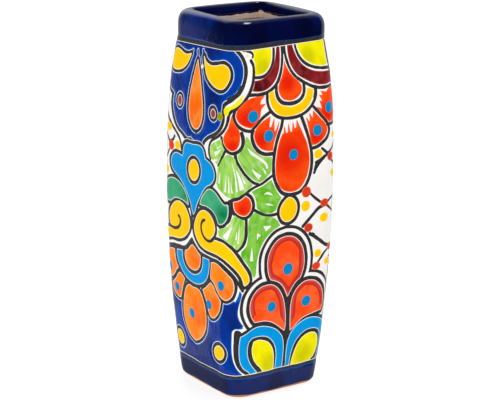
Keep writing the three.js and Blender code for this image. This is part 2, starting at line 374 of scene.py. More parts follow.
def fan_petals():
    """The fan's five orange petals, and short lines where they meet."""
    fan_petal([[(-24.9, 112.3), (-20, 113.3), (-15, 112.7), (-10, 110.3), (-5, 106.7), (-1.2, 103),
                (0.3, 98.4), (0, 93), (-2.4, 88), (-6.6, 85.1), (-11, 86), (-15, 88.7),
                (-18.6, 92.4), (-21.7, 96)],
               [(-26, 98.7), (-26, 102.5), (-25.2, 107)]],
              (-12.3, 96.2), 4.1, (-2, 92, 17))
    fan_petal([[(-26.5, 95.1), (-23, 93.1), (-19.7, 88.8), (-15.6, 85.4)],
               [(-12.6, 82.7), (-14, 77), (-16.6, 72), (-20.5, 68), (-25, 65.7), (-28.4, 66),
                (-30.4, 68.5), (-32.2, 73.2), (-34, 78), (-36.6, 82.4)],
               [(-38.6, 86), (-34, 88.9), (-30, 92.2)]],
              (-30.2, 75.6), 4, (-22, 79, 14))
    fan_petal([[(-60, 84.9), (-54, 84.3), (-48, 84.6), (-44, 83.6), (-41, 80.6), (-38.5, 76),
                (-36.6, 70.5), (-35.9, 64), (-36.4, 57), (-38.6, 51), (-42.3, 46.2), (-47, 42.4),
                (-52, 39.6), (-56, 38.3), (-60, 39.3), (-65, 42), (-68.7, 46.5), (-71.1, 52),
                (-72, 58), (-71.6, 64), (-70.1, 70), (-68, 76), (-65.3, 81)]],
              (-58.3, 61), 4.3, (-44, 62, 22))
    fan_petal([[(-67, 88.4), (-71, 91), (-74.6, 91.6), (-77.6, 89.3), (-80.3, 86), (-83.6, 83.2)],
               [(-87.6, 80.4), (-87.3, 76.5), (-83.8, 72.8), (-79, 70.4)],
               [(-75.6, 70.6), (-73.6, 75), (-70.8, 81)]],
              (-80.2, 78.4), 3.8, (-78, 76, 9))
    fan_petal([[(-80.7, 110.2), (-80.3, 105), (-79, 99.8)],
               [(-76.3, 95.8), (-79.6, 93.4), (-82.6, 89.7), (-86.5, 86.6), (-91, 85.3),
                (-95, 86.3), (-97, 90), (-97.3, 96), (-96.6, 102)],
               [(-94.5, 107), (-90, 108.5), (-85, 109.8)]],
              (-91.3, 93.6), 4.6, (-85, 92, 12))
    brush_line([(-36.8, 79.5), (-36, 77), (-34.3, 72), (-32.8, 67)], 2.2)
    brush_line([(-40.8, 87.6), (-40, 85.4)], 2)
    brush_line([(-64.6, 89.4), (-63.4, 86.8)], 2)
    brush_line([(-77.4, 96.4), (-79.4, 97.6)], 1.6)
    brush_line([(-25, 97.2), (-23.4, 95.6)], 1.4)


def fan_petal(runs, dot_centre, dot_radius, heart):
    """An orange petal of the fan, with a blue dot."""
    cell('orange', outline(*runs), heart=heart)
    dot('dot_blue', dot_centre, (dot_radius, dot_radius))


def cobalt_foot_field():
    """The cobalt behind the fan, and two golden beads on it."""
    field = outline(
        [(5.2, 94), (6.9, 91), (5.6, 85), (4.1, 79), (3.7, 73), (5.4, 68), (7.6, 64.8)],
        [(9.6, 62.8), (6.5, 61.3)],
        [(1.2, 61.1), (-1.2, 59), (-1.9, 53), (-2.2, 46), (-2, 39), (-0.2, 31), (3.2, 25.2)],
        [(7.3, 21.3), (6.5, 20), (6, 15)],
        [(-94, 15)],
        [(-93, 20), (-91.5, 27), (-91.2, 36), (-91.2, 47), (-92, 57)],
        [(-94.5, 62.5), (-95.6, 68), (-96, 75), (-95.8, 82), (-92, 95)],
        [(-30, 95)],
        [(-4, 88)],
        [(1.5, 84.5), (3.6, 89)])
    add(FIELD, 'cobalt', field)
    add(FIELD, 'white', oval((9.3, 62.8), (1.6, 1.2)))
    cell('golden', oval((-17.9, 37.1), (7.7, 5.8), 24), line=2.8)
    cell('golden', oval((-83, 34.4), (5.6, 6), 20), line=2.6)


# ---- the corner between the two visible sides --------------------------------------------------

def upper_corner_leaves():
    """The leaves that spread from the top of the corner."""
    leaf([[(-11.6, 214.6), (-17, 211.8), (-22, 209.6), (-25.2, 206.3), (-25.8, 201.5),
           (-24.2, 198.2), (-20, 196.4)],
          [(-16.4, 194.6), (-13.2, 199), (-10.6, 203.3)],
          [(-8.4, 207), (-10.4, 210.6)]],
         0.25, -35, [((-11, 207.5), (-19.5, 201.8), 3.6, 0.5), ((-15, 198.5), (-20.5, 196.3), 2.4, 0.2),
                     ((-10.5, 210), (-17, 206.5), 1.2, 0)])
    leaf([[(-5, 203.4), (-2, 202.6), (0.4, 200.6), (2, 196), (5.2, 190.3), (9, 185.2), (13.4, 181.4)],
          [(15.3, 179.4), (11, 176), (7, 173.2), (2, 170.8), (-3, 169.8)],
          [(-6, 170.9), (-10.5, 173.6), (-15, 176.6)],
          [(-16.6, 179), (-15.5, 183), (-15.4, 187.5), (-14.8, 191.5)],
          [(-12.3, 195), (-9, 200.2)]],
         0.4, 88, [((-6.2, 186.5), (-7, 173.8), 1.5, 0), ((-4.3, 188), (-3.8, 173.2), 1.5, 0.2),
                   ((-2.6, 183), (-1, 173.4), 1.1, 0), ((-2.2, 200.5), (2.6, 174.6), 1.3, 0.9),
                   ((1.5, 193), (6.6, 176.2), 3.6, 0.6), ((5.8, 188.2), (8.9, 181.2), 1.5, 0),
                   ((-12, 190), (-13.6, 179.6), 1.6, 0)])
    leaf([[(9.9, 217.6), (12.4, 214.2), (14.4, 209.6), (18.4, 204.6), (24, 201), (29.5, 199.6)],
          [(32.8, 199.2), (32.7, 193), (31.9, 187.6)],
          [(28.8, 184.6), (25, 182), (21.6, 181)],
          [(17.5, 183.2), (13, 186.6), (8.8, 191.6), (5.4, 197.4), (3.4, 202.6)],
          [(5.6, 206), (8.5, 210.4), (9, 214.6)]],
         0.5, -50, [((14.4, 192.6), (22.3, 184.6), 3.6, -0.4), ((24, 192.6), (27.6, 187), 1.4, 0.3)])
    crescent([(10.3, 209.5), (14, 206.4), (19.5, 202.4), (25, 198.4), (29, 194.4), (29.4, 191)],
             [(28, 190.8), (27.5, 193.2), (24, 196.6), (18.5, 200.6), (13, 204.6)])


def lower_corner_leaves():
    """The leaves that hang below them."""
    leaf([[(15.2, 174), (19, 175.3), (25, 177), (29.6, 179.4)],
          [(32.8, 180.8), (35.3, 176), (38.7, 170.3)],
          [(42.4, 165.4), (39.6, 161.4)],
          [(37.4, 156.4), (33, 154.7), (28, 155.3), (23.4, 157.6), (20.2, 160.2), (19.5, 165),
           (17.9, 170)]],
         0.85, -15, [])
    crescent([(25.8, 170.2), (28.4, 171.9), (31.4, 171.4), (34.6, 168.6)],
             [(31.2, 169.6), (28.4, 170.4)])
    crescent([(27.2, 162.2), (30, 162.8), (35.3, 160.4)], [(31.5, 160.8)])
    leaf([[(1.2, 155.6), (4.6, 153.2)],
          [(8.2, 151.6), (8.5, 144), (8, 137), (6, 131.6)],
          [(3, 128.2), (0, 130.8), (-4, 133.6), (-9, 136)],
          [(-13.8, 137.4), (-14.2, 140.8), (-12.2, 142.6), (-7.6, 144.6), (-3.6, 147.8),
           (-0.9, 152.3)]],
         0.3, 70, [((-0.8, 146.6), (-7.3, 136.2), 4.8, 0), ((2.6, 142.8), (2.1, 136.2), 1.2, 0),
                   ((1.2, 131.6), (0.6, 129.4), 1, 0), ((-1.5, 151), (-6, 146.4), 1, 0),
                   ((4.6, 150), (3.8, 133), 1.1, 0.2)])
    leaf([[(17.7, 156.6), (14, 153.6), (12.4, 149.6), (12.3, 142), (12, 135.5), (10.5, 130)],
          [(6.9, 126.4), (6.4, 123.4), (9, 119.4), (12.4, 114.8), (15, 110), (16.6, 105.9)],
          [(18, 103.8), (19.2, 106), (19.6, 112), (20.6, 119), (22.3, 125), (25, 130.6),
           (29.2, 135.6), (34.4, 139.6)],
          [(41.6, 143.2), (39, 147.2), (35.6, 150), (31, 151.6), (25, 153), (20.8, 155.2)]],
         0.75, 80, [((15.5, 129.4), (15.2, 117.7), 3, 0)])
    crescent([(20.2, 139.6), (22, 139.2), (23.6, 137.4)], [(21.6, 136.8), (20.4, 134.4)])
    crescent([(26, 144.8), (33.4, 143.8)], [(28.6, 140.2)])


def leaf(runs, tone, angle, streaks):
    """A green leaf: how wet its paint is, which way it was brushed, and its white streaks."""
    loop = turned_left(outline(*runs))
    add(COLOUR, 'leaf', grow(loop, LEAF_SPREAD), tone=tone, angle=angle)
    for root, tip, width, bend in streaks:
        streak(root, tip, width, bend)


def crescent(upper, lower):
    """A white sliver left bare in a leaf."""
    add(DOT, 'white', outline(upper, lower))


def corner_lines():
    """Lines between the leaves, a red drop, and a red half round."""
    brush_line([(-11.2, 216.2), (-10.2, 211.5), (-6.6, 207), (-1.5, 204.8), (3.2, 206.4),
                (6.4, 210.4), (7.1, 215.6), (5.9, 220.8)], 2.6)
    brush_line([(-7, 206.6), (-9.8, 201.4), (-13, 196), (-14.8, 193.6)], 2)
    brush_line([(1, 204.6), (1.8, 200), (4.8, 194.4), (8.6, 188.6), (13, 183.8), (17, 180.8),
                (20.6, 179.4)], 2.1)
    brush_line([(-3.4, 166.8), (3, 168.9), (8, 172), (13, 175.5), (18, 177.6), (24, 179.3),
                (29, 181.9), (34, 184.6)], 2.1)
    brush_line([(17.5, 159), (22.8, 155.8), (28, 153.5), (33, 152.7), (39, 153)], 2.2)
    brush_line([(10.1, 153.8), (10.3, 146), (10, 138), (8.5, 133), (5.5, 129), (3.2, 127)], 2.4)
    add(COLOUR, 'red', outline(
        [(-2, 234.6), (-0.8, 230.3), (1.4, 226.6), (4, 223), (4.8, 217.2), (4.1, 211.8),
         (1.7, 207.8), (-1.5, 206.6), (-5, 208), (-8, 211.2), (-9.4, 215.6), (-7.7, 220),
         (-5, 224.6), (-3.6, 229.6)],
        [(-2.2, 234.4)]), heart=(-1, 210, 9), tone=0.1)
    half_round = outline(
        [(0.1, 166.4), (5, 167.8)],
        [(9.6, 171.2), (12.7, 168.6), (14.7, 163.5), (13.4, 158.6), (9.6, 155.4), (5.4, 156.1),
         (2, 158.6), (0.5, 162)])
    cell('red', half_round, line=2.6, heart=(7.5, 160.5, 7), tone=0.15)


# ---- right side ---------------------------------------------------------------------------------

def left_eaves():
    """Lime and maroon under the rim, left of the side's middle."""
    add(COLOUR, 'lime', outline(
        [(10.6, 288)], [(33.5, 288)],
        [(33.7, 283), (34.1, 279), (33.5, 274.6), (31.4, 269.8), (27.8, 266.2), (23, 264.4)],
        [(17.2, 264.3), (17.3, 268.6), (16.9, 273)],
        [(15.3, 277), (16.2, 280.2), (14.4, 282.8)],
        [(11, 284.4)]), heart=(25, 270, 11))
    brush_line([(36.7, 288), (36.5, 279), (35.1, 272), (31.9, 266.7), (27.5, 263.4), (22.8, 262.3),
                (18, 262.4)], 2.3)
    add(COLOUR, 'maroon', outline(
        [(40, 288)], [(43.2, 288)],
        [(43.1, 279), (42.3, 271), (40.3, 264), (36.4, 257.9), (31, 253.6), (25, 251.6),
         (19, 251.6)],
        [(14.4, 252.4), (15.9, 256)],
        [(16.8, 260.2), (20.5, 260.3), (25.4, 261.3), (30.3, 264.2), (34.3, 268.6), (37.2, 274),
         (38.8, 280)]), heart=(22, 256, 12))
    brush_line([(45.6, 290), (45.4, 278), (44.5, 270.6), (42.4, 263.2), (39.3, 257.3), (35, 253.2),
                (29, 250.4), (22, 249.2), (15.5, 249.6), (12, 249.6)], 2.5)


def right_eaves():
    """Maroon and lime right of it."""
    brush_line([(48.2, 290), (48.4, 279), (49.9, 272.2), (53, 265.4), (57.6, 260), (63, 256.3),
                (68, 253.6), (75, 250.4), (82, 248.9), (90, 248.8), (97, 249.2), (104, 249.4)], 2.4)
    brush_line([(46.9, 290), (46.9, 279.5)], 3)
    add(COLOUR, 'maroon', outline(
        [(51.2, 288)], [(57, 288)],
        [(57.4, 283), (58.6, 279.2), (61.2, 274), (65.6, 268.8), (71, 265.2), (78, 262.5),
         (86, 261.4), (94, 261), (100.6, 260)],
        [(102.3, 256), (101, 252.2), (94, 251.4), (87, 250.9), (80, 251.6), (73, 254.1),
         (66, 257.3), (60, 260.9), (55.6, 265.7), (52.6, 271.6), (51.3, 278)]),
        heart=(62, 262, 12))
    add(COLOUR, 'lime', outline(
        [(62, 288)], [(94.6, 289)],
        [(94.4, 283), (93.5, 274.5), (93.6, 270)],
        [(94.2, 266.2), (88.5, 265.8), (82, 266.4), (75.3, 268.3), (69.3, 271.6), (65.5, 276),
         (63, 281)]), heart=(72, 274, 12))
    brush_line([(59.5, 289), (60.6, 280.4), (63.7, 274), (69, 269.1), (76, 265.9), (84, 264.2),
                (92, 263.6), (99, 262.9)], 2.3)
    brush_line([(97, 290), (96.4, 282), (95.8, 274), (96.6, 267), (99, 263.4)], 2.3)
    brush_line([(102.8, 262.4), (104.6, 257), (103.2, 251)], 2.2)


def red_drop_and_cup():
    """A red drop between the eaves, and the golden cup under it."""
    drop = outline(
        [(47.2, 273), (49, 268.6), (52, 263.7), (56.3, 259.2), (60.8, 255.6), (63.2, 252),
         (62.8, 247.7), (59.5, 244.2), (54.5, 242), (49, 242), (44.3, 243.6), (41.2, 247.2),
         (39.9, 252), (41, 256.4), (43.5, 260.8), (45.6, 266.6)],
        [(47, 272.8)])
    add(COLOUR, 'red', drop, heart=(49, 256, 12), tone=0.1)
    brush_line([(37.9, 254.4), (37.9, 249.6), (39.7, 244.4), (43.5, 241), (48.5, 239.7),
                (54, 239.5), (59.6, 240.8), (63.4, 243.6), (65.4, 247.6), (65.6, 254)], 2.9)
    cup = outline(
        [(31.2, 250.3)],
        [(35.4, 250.9), (36.3, 246.4), (38.9, 241.9), (43, 238.9), (48, 237.7), (52, 236.9),
         (57, 237.6), (62.6, 239.7), (66.4, 243.3), (67.9, 247)],
        [(68.6, 250.3)],
        [(74.7, 248.6), (74.2, 244.4), (72, 239.5), (68, 235.1), (62.5, 231.9), (56, 230.3),
         (49, 229.8), (42, 230.9), (37, 234.1), (33.5, 238.4), (31.3, 243.6), (30.6, 247.6)])
    add(COLOUR, 'golden', cup)
    brush_line([(28.9, 248.4), (29, 243), (31, 237.6), (34.9, 232.9), (40, 229.9), (46, 228.5),
                (53, 228.2), (60, 229), (66.4, 231.3), (71.5, 235), (75.4, 239.8), (77.3, 244.6),
                (77.4, 250)], 2.5)
    brush_line([(76.3, 250), (76.6, 246), (75.6, 242)], 2.2)


def dry_petal(heart, angle, *runs):
    """A red petal whose root ends in dry brush fingers."""
    loop = turned_left(outline(*runs))
    add(COLOUR, 'red', grow(loop, PETAL_SPREAD), heart=heart, angle=angle)


def left_red_petals():
    """Two petals left of the middle, and their lines."""
    dry_petal(
        (10, 231, 13), 5,
        [(25.8, 247.7), (20, 247.6), (14.5, 247.2), (10, 245.6), (5.5, 242), (2.6, 238.4), (1.5, 233.6),
         (3.8, 229), (8, 226.2)],
        [(13.4, 224.4), (17, 226.4), (20.6, 230.2)],
        [(22, 232.4), (22.4, 235.5)],
        [(23, 238)], [(27, 241.6)], [(21.6, 241.4)], [(22.6, 244.6)])
    brush_line([(0.2, 237.6), (-0.6, 233.4), (1.6, 228), (6, 224), (11, 222.2), (15.6, 221.8)])
    brush_line([(14, 222), (18.6, 226), (24.3, 230.9), (32, 235.2)])
    dry_petal(
        (23, 214, 12), 60,
        [(31.6, 231.4)],
        [(25.4, 228.6), (20.3, 225.2), (17.2, 220.6), (17.1, 216), (19.6, 210.7), (24, 206.8),
         (29, 205)],
        [(34, 204.6), (34.7, 209.4), (36.6, 215)],
        [(38.6, 219.6)], [(40, 226.4)], [(37.4, 220.6)], [(35.4, 218.5)],
        [(35.2, 229.2)], [(32.4, 222.6)], [(30.4, 223)])
    brush_line([(15, 221.8), (14.5, 217), (16.7, 210.5), (21, 205.3), (26.8, 202.5), (34.5, 202)], 2.8)


def middle_red_petal():
    """The long petal in the middle."""
    dry_petal(
        (50, 199, 24), 90,
        [(43.3, 216.2)],
        [(41.4, 213), (39.5, 208), (37.9, 200), (37.1, 192), (37.6, 184), (39.9, 177.2),
         (43.6, 172.4), (49, 169.8), (56, 169.5), (61, 171.7), (65.4, 177), (68.2, 184),
         (69.3, 192), (68.5, 200), (66.3, 207.6)],
        [(63.4, 213.6)],
        [(62, 216.4)], [(57.2, 225.6)], [(56.6, 219.6)],
        [(54.6, 219.6)], [(53.4, 224.4)], [(52.6, 217)],
        [(51, 216.6)], [(49, 223.4)], [(48.4, 216.4)], [(46.6, 216.6)], [(45, 222)], [(44.6, 216.8)])
    brush_line([(43.6, 228.6), (42.3, 222.6), (39.7, 216.4), (37.4, 210), (35.8, 203), (35, 196),
                (34.9, 189), (36, 181.5), (39.2, 174.4), (43.3, 169.5), (48.5, 167.2), (54.5, 166.8),
                (60.3, 167.8), (65.6, 171.8), (69.4, 178.4), (71.4, 186), (71.8, 194), (70.6, 203),
                (68.4, 211), (65.5, 219), (61.6, 228.6)], 2.8)


def right_red_petals():
    """Two petals right of the middle."""
    dry_petal(
        (76, 211, 11), -60,
        [(73.6, 231.2)],
        [(77, 228), (81, 224.2), (85.2, 219.8), (87.2, 215.5), (86, 211.6), (82, 207.5),
         (77, 204.8)],
        [(72.3, 204.2), (70.9, 207.6), (70, 213), (68.6, 219)],
        [(66.7, 226.6)], [(70.4, 222)], [(70, 229.6)], [(73.2, 224.6)])
    brush_line([(74.2, 234.4), (80, 228.6), (85.5, 222.6), (89, 217.9), (89.7, 213.4), (87, 208.5),
                (82, 204.7), (77, 202.3), (71, 201.5)], 2.7)
    dry_petal(
        (88, 229, 12), -15,
        [(82.4, 246)],
        [(88.4, 244.6), (91, 246.8), (95, 247.4), (98.4, 246.4), (100.2, 241), (100.3, 233),
         (99, 226)],
        [(96.6, 221.6), (93, 221), (90, 221)],
        [(86, 224.4), (81.8, 228.8)],
        [(77.8, 233.7)], [(83, 231.8)], [(80.8, 238)], [(83.6, 238.2)], [(80.6, 243)], [(84.6, 242.2)])
    brush_line([(87.6, 219), (93, 218.9), (98.5, 219.8)], 2.5)
    brush_line([(98.2, 219.8), (101.4, 226), (102.8, 234), (102.5, 242), (100.6, 248.6)], 2.3)


def red_petal_dots():
    """A blue dot on each."""
    for centre, radii in [((15.5, 233), (4.7, 4.7)), ((30.2, 216.4), (4.5, 4.7)),
                          ((54, 198.8), (4.2, 4.4)), ((77.4, 215.4), (4.4, 4.6)),
                          ((91, 232.4), (5, 4.6))]:
        dot('dot_blue', centre, radii)


def lattice():
    """Black netting with red knots where it crosses, and golden beads between."""
    net = [
        ([(82, 200.3), (85, 197.8), (88, 195.6)], 2),
        ([(76.2, 189.6), (80, 191), (84, 193.2), (88, 195)], 2.4),
        ([(74.4, 181.5), (76.5, 185.2), (79.6, 189), (84, 192.6)], 2.4),
        ([(75.4, 184), (76.6, 187.6), (77.8, 189.6)], 3.2),
        ([(88, 195.5), (93, 198.2), (98, 202), (102, 206.2), (107, 204), (111.6, 200)], 2.2),
        ([(92, 190), (97, 187), (102, 184.2), (107, 187), (111.4, 192.4)], 2),
        ([(112, 199), (117, 201.6), (119.6, 205)], 2.5),
        ([(70, 166), (76, 160.6), (82, 156.2)], 2),
        ([(64.6, 139), (70, 143.6), (75, 148), (80, 152), (84.6, 153.4)], 2.7),
        ([(88.6, 155.4), (93, 157.8), (99, 158.6)], 2.1),
        ([(88.6, 152.8), (94, 149), (99, 146.2), (105, 144.6)], 1.9),
        ([(71.8, 131.7), (76, 129.2), (82, 125), (88, 120.6), (93.5, 118.4)], 2.8),
        ([(75.9, 130.3), (74.4, 131.2)], 2.6),
        ([(93, 116), (88, 113.3), (84.6, 109.6), (82, 106.4)], 2.1),
        ([(97, 115.6), (101, 112.8), (105, 110.8)], 2),
    ]
    for points, width in net:
        brush_line(points, width)
    knots = [((91.6, 192.6), (4.1, 3.6)), ((67, 166.8), (4.5, 4.5)), ((85.6, 155.4), (4.3, 3.5)),
             ((70.2, 137), (4.3, 3.7)), ((96.2, 117.4), (4.2, 3.4)), ((80.3, 103.4), (4.3, 3.4)),
             ((114.8, 196.6), (4.2, 4))]
    for centre, radii in knots:
        dot('knot_red', centre, radii, layer=COLOUR)
    beads = [((78.2, 196.2), (4.1, 3.8)), ((97.8, 209.6), (4.6, 3)), ((97, 178.7), (5.2, 3.4)),
             ((66.6, 155.3), (4.4, 4.4)), ((85.6, 143.4), (4.5, 3.8)), ((100, 151.4), (4.4, 3)),
             ((81.1, 113.9), (3.6, 3.5)), ((93.6, 105.6), (5.2, 3)), ((111, 211.4), (4.2, 3.6)),
             ((124.2, 198.4), (4, 3.7)), ((106.8, 175.8), (4.8, 4))]
    for centre, radii in beads:
        dot('golden', centre, radii, layer=COLOUR)


def golden_bead():
    """The bead under the middle petal."""
    bead = outline(
        [(49.5, 164.6), (52.3, 164.2), (55.5, 161.8), (57.6, 158), (57.6, 152.5), (55, 147.8),
         (50, 145.3), (45.3, 146.6), (42.2, 151), (42, 156), (44.2, 160.3)])
    cell('golden', bead, line=2.6)


# How far out of a petal reach the white round the trefoil, its black line, and the white inside
# that line, mm
CLEAR_REACH, BORDER_REACH, BAND_REACH = 9.6, 9.2, 6.5


def trefoil():
    """Three coral petals in one black border."""
    top = outline(
        [(48, 133.2), (55, 131.9), (61, 127.6), (65, 121.6), (67, 114.4), (67.4, 107), (66.2, 100.8)],
        [(64.3, 96.4), (59.7, 93.2), (56.4, 89), (53.8, 84.8)],
        [(52.1, 82.4), (50.2, 86.4), (47.5, 91), (43.5, 95.2), (38.6, 97.8)],
        [(34.4, 99.3), (32.4, 103.6), (31.2, 110), (31.3, 117), (33.2, 123), (37, 128.4), (42, 131.9)])
    left = outline(
        [(31, 95.2), (36, 94.6), (41, 91.5), (45, 86.6), (48, 80.6), (50, 73), (51.3, 65), (51.6, 58)],
        [(51.2, 53.2), (47, 56.2), (42, 60), (37, 62.9), (31, 64.9), (25, 65.4)],
        [(19.4, 65.5), (16.6, 69.4), (14.7, 75), (14.6, 81), (16.6, 87), (20.5, 91.6), (25.5, 94.4)])
    right = outline(
        [(74, 92.4), (80, 91), (85.5, 87), (89.5, 81.6), (91.7, 75), (92.1, 69)],
        [(91, 64.6), (85, 64.1), (78, 62.9), (71, 61.3), (65.5, 58.2), (60.6, 54.2)],
        [(57.6, 52.4), (57, 58), (56.5, 66), (56.4, 74), (57.6, 80.6), (60.6, 86), (65, 90),
         (69.5, 92)])
    for petal, plain_side in ((top, (50, 20, 1)), (left, (26, 38, 35)), (right, (84, 30, 41))):
        loop = turned_left(petal)
        add(CLEAR, 'white', grow(loop, CLEAR_REACH))
        add(BORDER, 'black', grow(loop, BORDER_REACH, ROUND_SHAKE))
        add(BAND, 'white', grow(loop, BAND_REACH))
        cell('coral', loop, line=3, heart=plain_side)
    brush_line([(53.6, 79), (53.8, 70), (53.8, 60), (53.3, 50), (53.2, 30)], 3.2)
    brush_line([(50.2, 50.6), (53.6, 51.4), (57.6, 50.4)], 2.4)
    for centre, radii in [((51.3, 105.5), (4.8, 4.9)), ((36.3, 76), (4.4, 4.3)),
                          ((72.4, 75), (4.7, 4.5))]:
        dot('dot_blue', centre, radii)
    dot('rose_mist', (43.6, 137.3), (1.4, 0.7))
    dot('rose_mist', (79.4, 97), (1, 0.6))


def left_foot_arch():
    """A blue arch over lime, standing on the foot band."""
    left = outline(
        [(5.9, 54.2), (10, 56), (15, 58.7), (21, 60.6), (27, 60.6), (33.4, 59.2), (40, 56.6),
         (45.2, 52.8), (49.2, 47.8), (51, 42), (51.5, 35), (51.4, 26)],
        [(51, 16)], [(43.7, 16)],
        [(43.6, 21), (44, 27), (43.9, 34), (42.5, 40), (39.5, 45.5), (35, 49.6), (29.5, 52),
         (23.5, 52.7), (17.5, 52.2), (13.8, 49.5), (12.2, 44.6), (12.1, 38.6), (13.8, 32.5),
         (17.3, 27)],
        [(22.6, 21.2)], [(15.6, 20.8)],
        [(12.6, 23.7), (9, 26), (6.6, 29.4), (5.1, 34), (4.5, 42), (5, 49)])
    cell('sky', left)
    brush_line([(4.6, 57.8), (2.4, 58.4), (1.6, 52), (1.2, 44), (1.6, 36), (3.9, 29.5), (7.4, 25.1),
                (12.2, 22)], 3.6)
    lime_left = outline(
        [(18.8, 48.5), (23.5, 49.2), (29, 48), (34, 45.6), (37.8, 41.6), (40.3, 36), (41.2, 29)],
        [(41.3, 16)],
        [(29, 16), (29, 21.8), (26.8, 24.6), (23, 28.2), (19.5, 32.6), (17.6, 38), (17.3, 43.5)])
    cell('lime', lime_left, heart=(36, 27, 13))


def right_foot_arch():
    """Its neighbour, and the black where the two meet."""
    right = outline(
        [(55.3, 16)],
        [(55.2, 28), (55.3, 36), (56, 42.6), (58, 48.2), (61.8, 53), (68, 56.9), (74, 58.9),
         (80.5, 59.4), (87, 58.1), (93, 55.5), (98, 52.4), (101.4, 47), (102.4, 39), (102, 30)],
        [(100.5, 16)], [(93.5, 16)],
        [(93, 22.5), (95.8, 28.6), (96.4, 35.6), (94.6, 42), (91.3, 46.6), (86.5, 49.2), (80, 50),
         (74, 48.9), (68.5, 45.6), (64, 40.6), (61.3, 34.5), (60, 28)],
        [(59.5, 16)])
    cell('sky', right)
    add(MARGIN, 'black', outline(
        [(52.2, 20), (52.2, 33), (51.8, 42), (50, 48)], [(48, 50.8)],
        [(50.6, 53), (56, 53)], [(59, 50.8)],
        [(57.2, 47.6), (55.2, 42), (54.6, 33), (54.5, 20)]))
    lime_right = outline(
        [(61.9, 16), (62.3, 24), (64, 30.4), (66.6, 36.6), (70.2, 41.5), (74.8, 44.6), (79.7, 45.9),
         (84.6, 45.6), (88.6, 43.3), (91.2, 39.3), (92.6, 34), (91.4, 29.4), (88, 24.6), (83.4, 21.2)],
        [(80, 16)])
    cell('lime', lime_right, heart=(75, 28, 16))


def paint_design():
    """The whole design, in the order in which it was laid down."""
    cobalt_crown()
    crown_motifs()
    crown_border()
    blue_flower()
    teal_leaves()
    scrolls()
    fan_border()
    fan_middle()
    fan_petals()
    cobalt_foot_field()
    upper_corner_leaves()
    lower_corner_leaves()
    corner_lines()
    left_eaves()
    right_eaves()
    red_drop_and_cup()
    left_red_petals()
    middle_red_petal()
    right_red_petals()
    red_petal_dots()
    lattice()
    golden_bead()
    trefoil()
    left_foot_arch()
    right_foot_arch()


# ---- bands round the vase -------------------------------------------------------------------------

FOOT_LINE = 18.9              # height of the black line over the foot band
FOOT_LINE_HALF = (STROKE + LOADED) / 2
FOOT_LINE_WHITE = 0.5         # white left bare above it
BELOW_FOOT = -5               # a level below everything
RIM_WHITE = 0.95              # white left bare under the rim's black line
ABOVE_SKIN = 6                # enough to reach past the top of the painted wall


def wavy_band(paint, high, waver, **looks):
    """A band all round the foot, from below it up to high."""
    low = BELOW_FOOT
    u = np.arange(-0.75, 0.7501, 0.01) * PERIOD
    turn = 2 * math.pi * u / PERIOD
    wave = 0.45 * np.sin(turn - 0.5) + 0.2 * np.sin(5 * turn)
    shake = waver * np.sin(11 * turn + low)
    add(OVERLINE, paint, np.vstack([np.column_stack([u, low + wave + shake]),
                                    np.column_stack([u, high + wave - shake])[::-1]]), **looks)


def foot_bands():
    """White, black and cobalt, each over the one before and a little lower."""
    wavy_band('white', FOOT_LINE + FOOT_LINE_HALF + FOOT_LINE_WHITE, 0.1)
    wavy_band('black', FOOT_LINE + FOOT_LINE_HALF, 0.12)
    wavy_band('cobalt', FOOT_LINE - FOOT_LINE_HALF, 0.15, tone=0.78)


def rim_band():
    """The white under the rim's black line, drawn for the two sides only: its repeats would
    climb where the rim line doesn't."""
    u = np.linspace(-SIDE, SIDE, 199)
    low = np.column_stack([u, skin_top(u) - RIM_WHITE])
    add(OVERLINE, 'white', np.vstack([low, (low + (0, ABOVE_SKIN))[::-1]]))


# ---- the glazed surface -------------------------------------------------------------------------
# Half widths are to the outside of the glaze, in millimetres.

BELLY_HEIGHT, BELLY_HALF = 171.3, 53.8
FOOT_HALF, FOOT_SWELL = 43.35, 2.03
FOOT_ROUND = 3.0              # rounding of the bottom edge
NECK_HEIGHT, NECK_HALF, NECK_SWELL = 285.0, 46.35, 2.9
SHOULDER = 293.0              # where the wall starts to roll over into the lip
CREST_HEIGHT, CREST_HALF = 305.4, 39.6
CORNER_RADIUS, SIDE_BOW = 0.35, 0.018
CREST_RADIUS, CREST_BOW = 0.277, 0.113


class Section:
    """A bowed square with round corners, half width 1, walked by its arc length."""

    def __init__(self, corner, bow):
        self.corner = corner
        self.side = (1 + bow * bow) / (2 * bow)
        self.reach = self.side - 1
        root = math.sqrt(2 * (self.side - corner)**2 - self.reach**2)
        self.centre = (root - self.reach) / 2
        self.turn = math.atan2(self.centre, self.centre + self.reach)
        self.side_length = self.side * self.turn
        self.half_length = self.side_length + corner * (math.pi / 4 - self.turn)

    def point(self, along, half, inset=0.0):
        """Plan points of the front side. along runs from -1 to 1, diagonal to diagonal."""
        walk = np.abs(along) * self.half_length
        on_side = walk <= self.side_length
        angle = np.where(on_side, walk / self.side,
                         self.turn + (walk - self.side_length) / self.corner)
        radius = np.where(on_side, self.side, self.corner) * half - inset
        x = np.where(on_side, 0, self.centre) * half + radius * np.sin(angle)
        y = np.where(on_side, self.reach, -self.centre) * half - radius * np.cos(angle)
        return x * np.sign(along), y


WALL = Section(CORNER_RADIUS, SIDE_BOW)
CREST = Section(CREST_RADIUS, CREST_BOW)


def half_width(z):
    """Half the width of the glazed wall at height z, with its rounded bottom edge."""
    drop = np.clip((BELLY_HEIGHT - z) / BELLY_HEIGHT, 0, 1)**FOOT_SWELL
    rise = np.clip((z - BELLY_HEIGHT) / (NECK_HEIGHT - BELLY_HEIGHT), 0, 1)**NECK_SWELL
    under = FOOT_ROUND * (1 - np.sqrt(1 - np.clip(1 - z / FOOT_ROUND, 0, 1)**2))
    return BELLY_HALF - drop * (BELLY_HALF - FOOT_HALF) - rise * (BELLY_HALF - NECK_HALF) - under


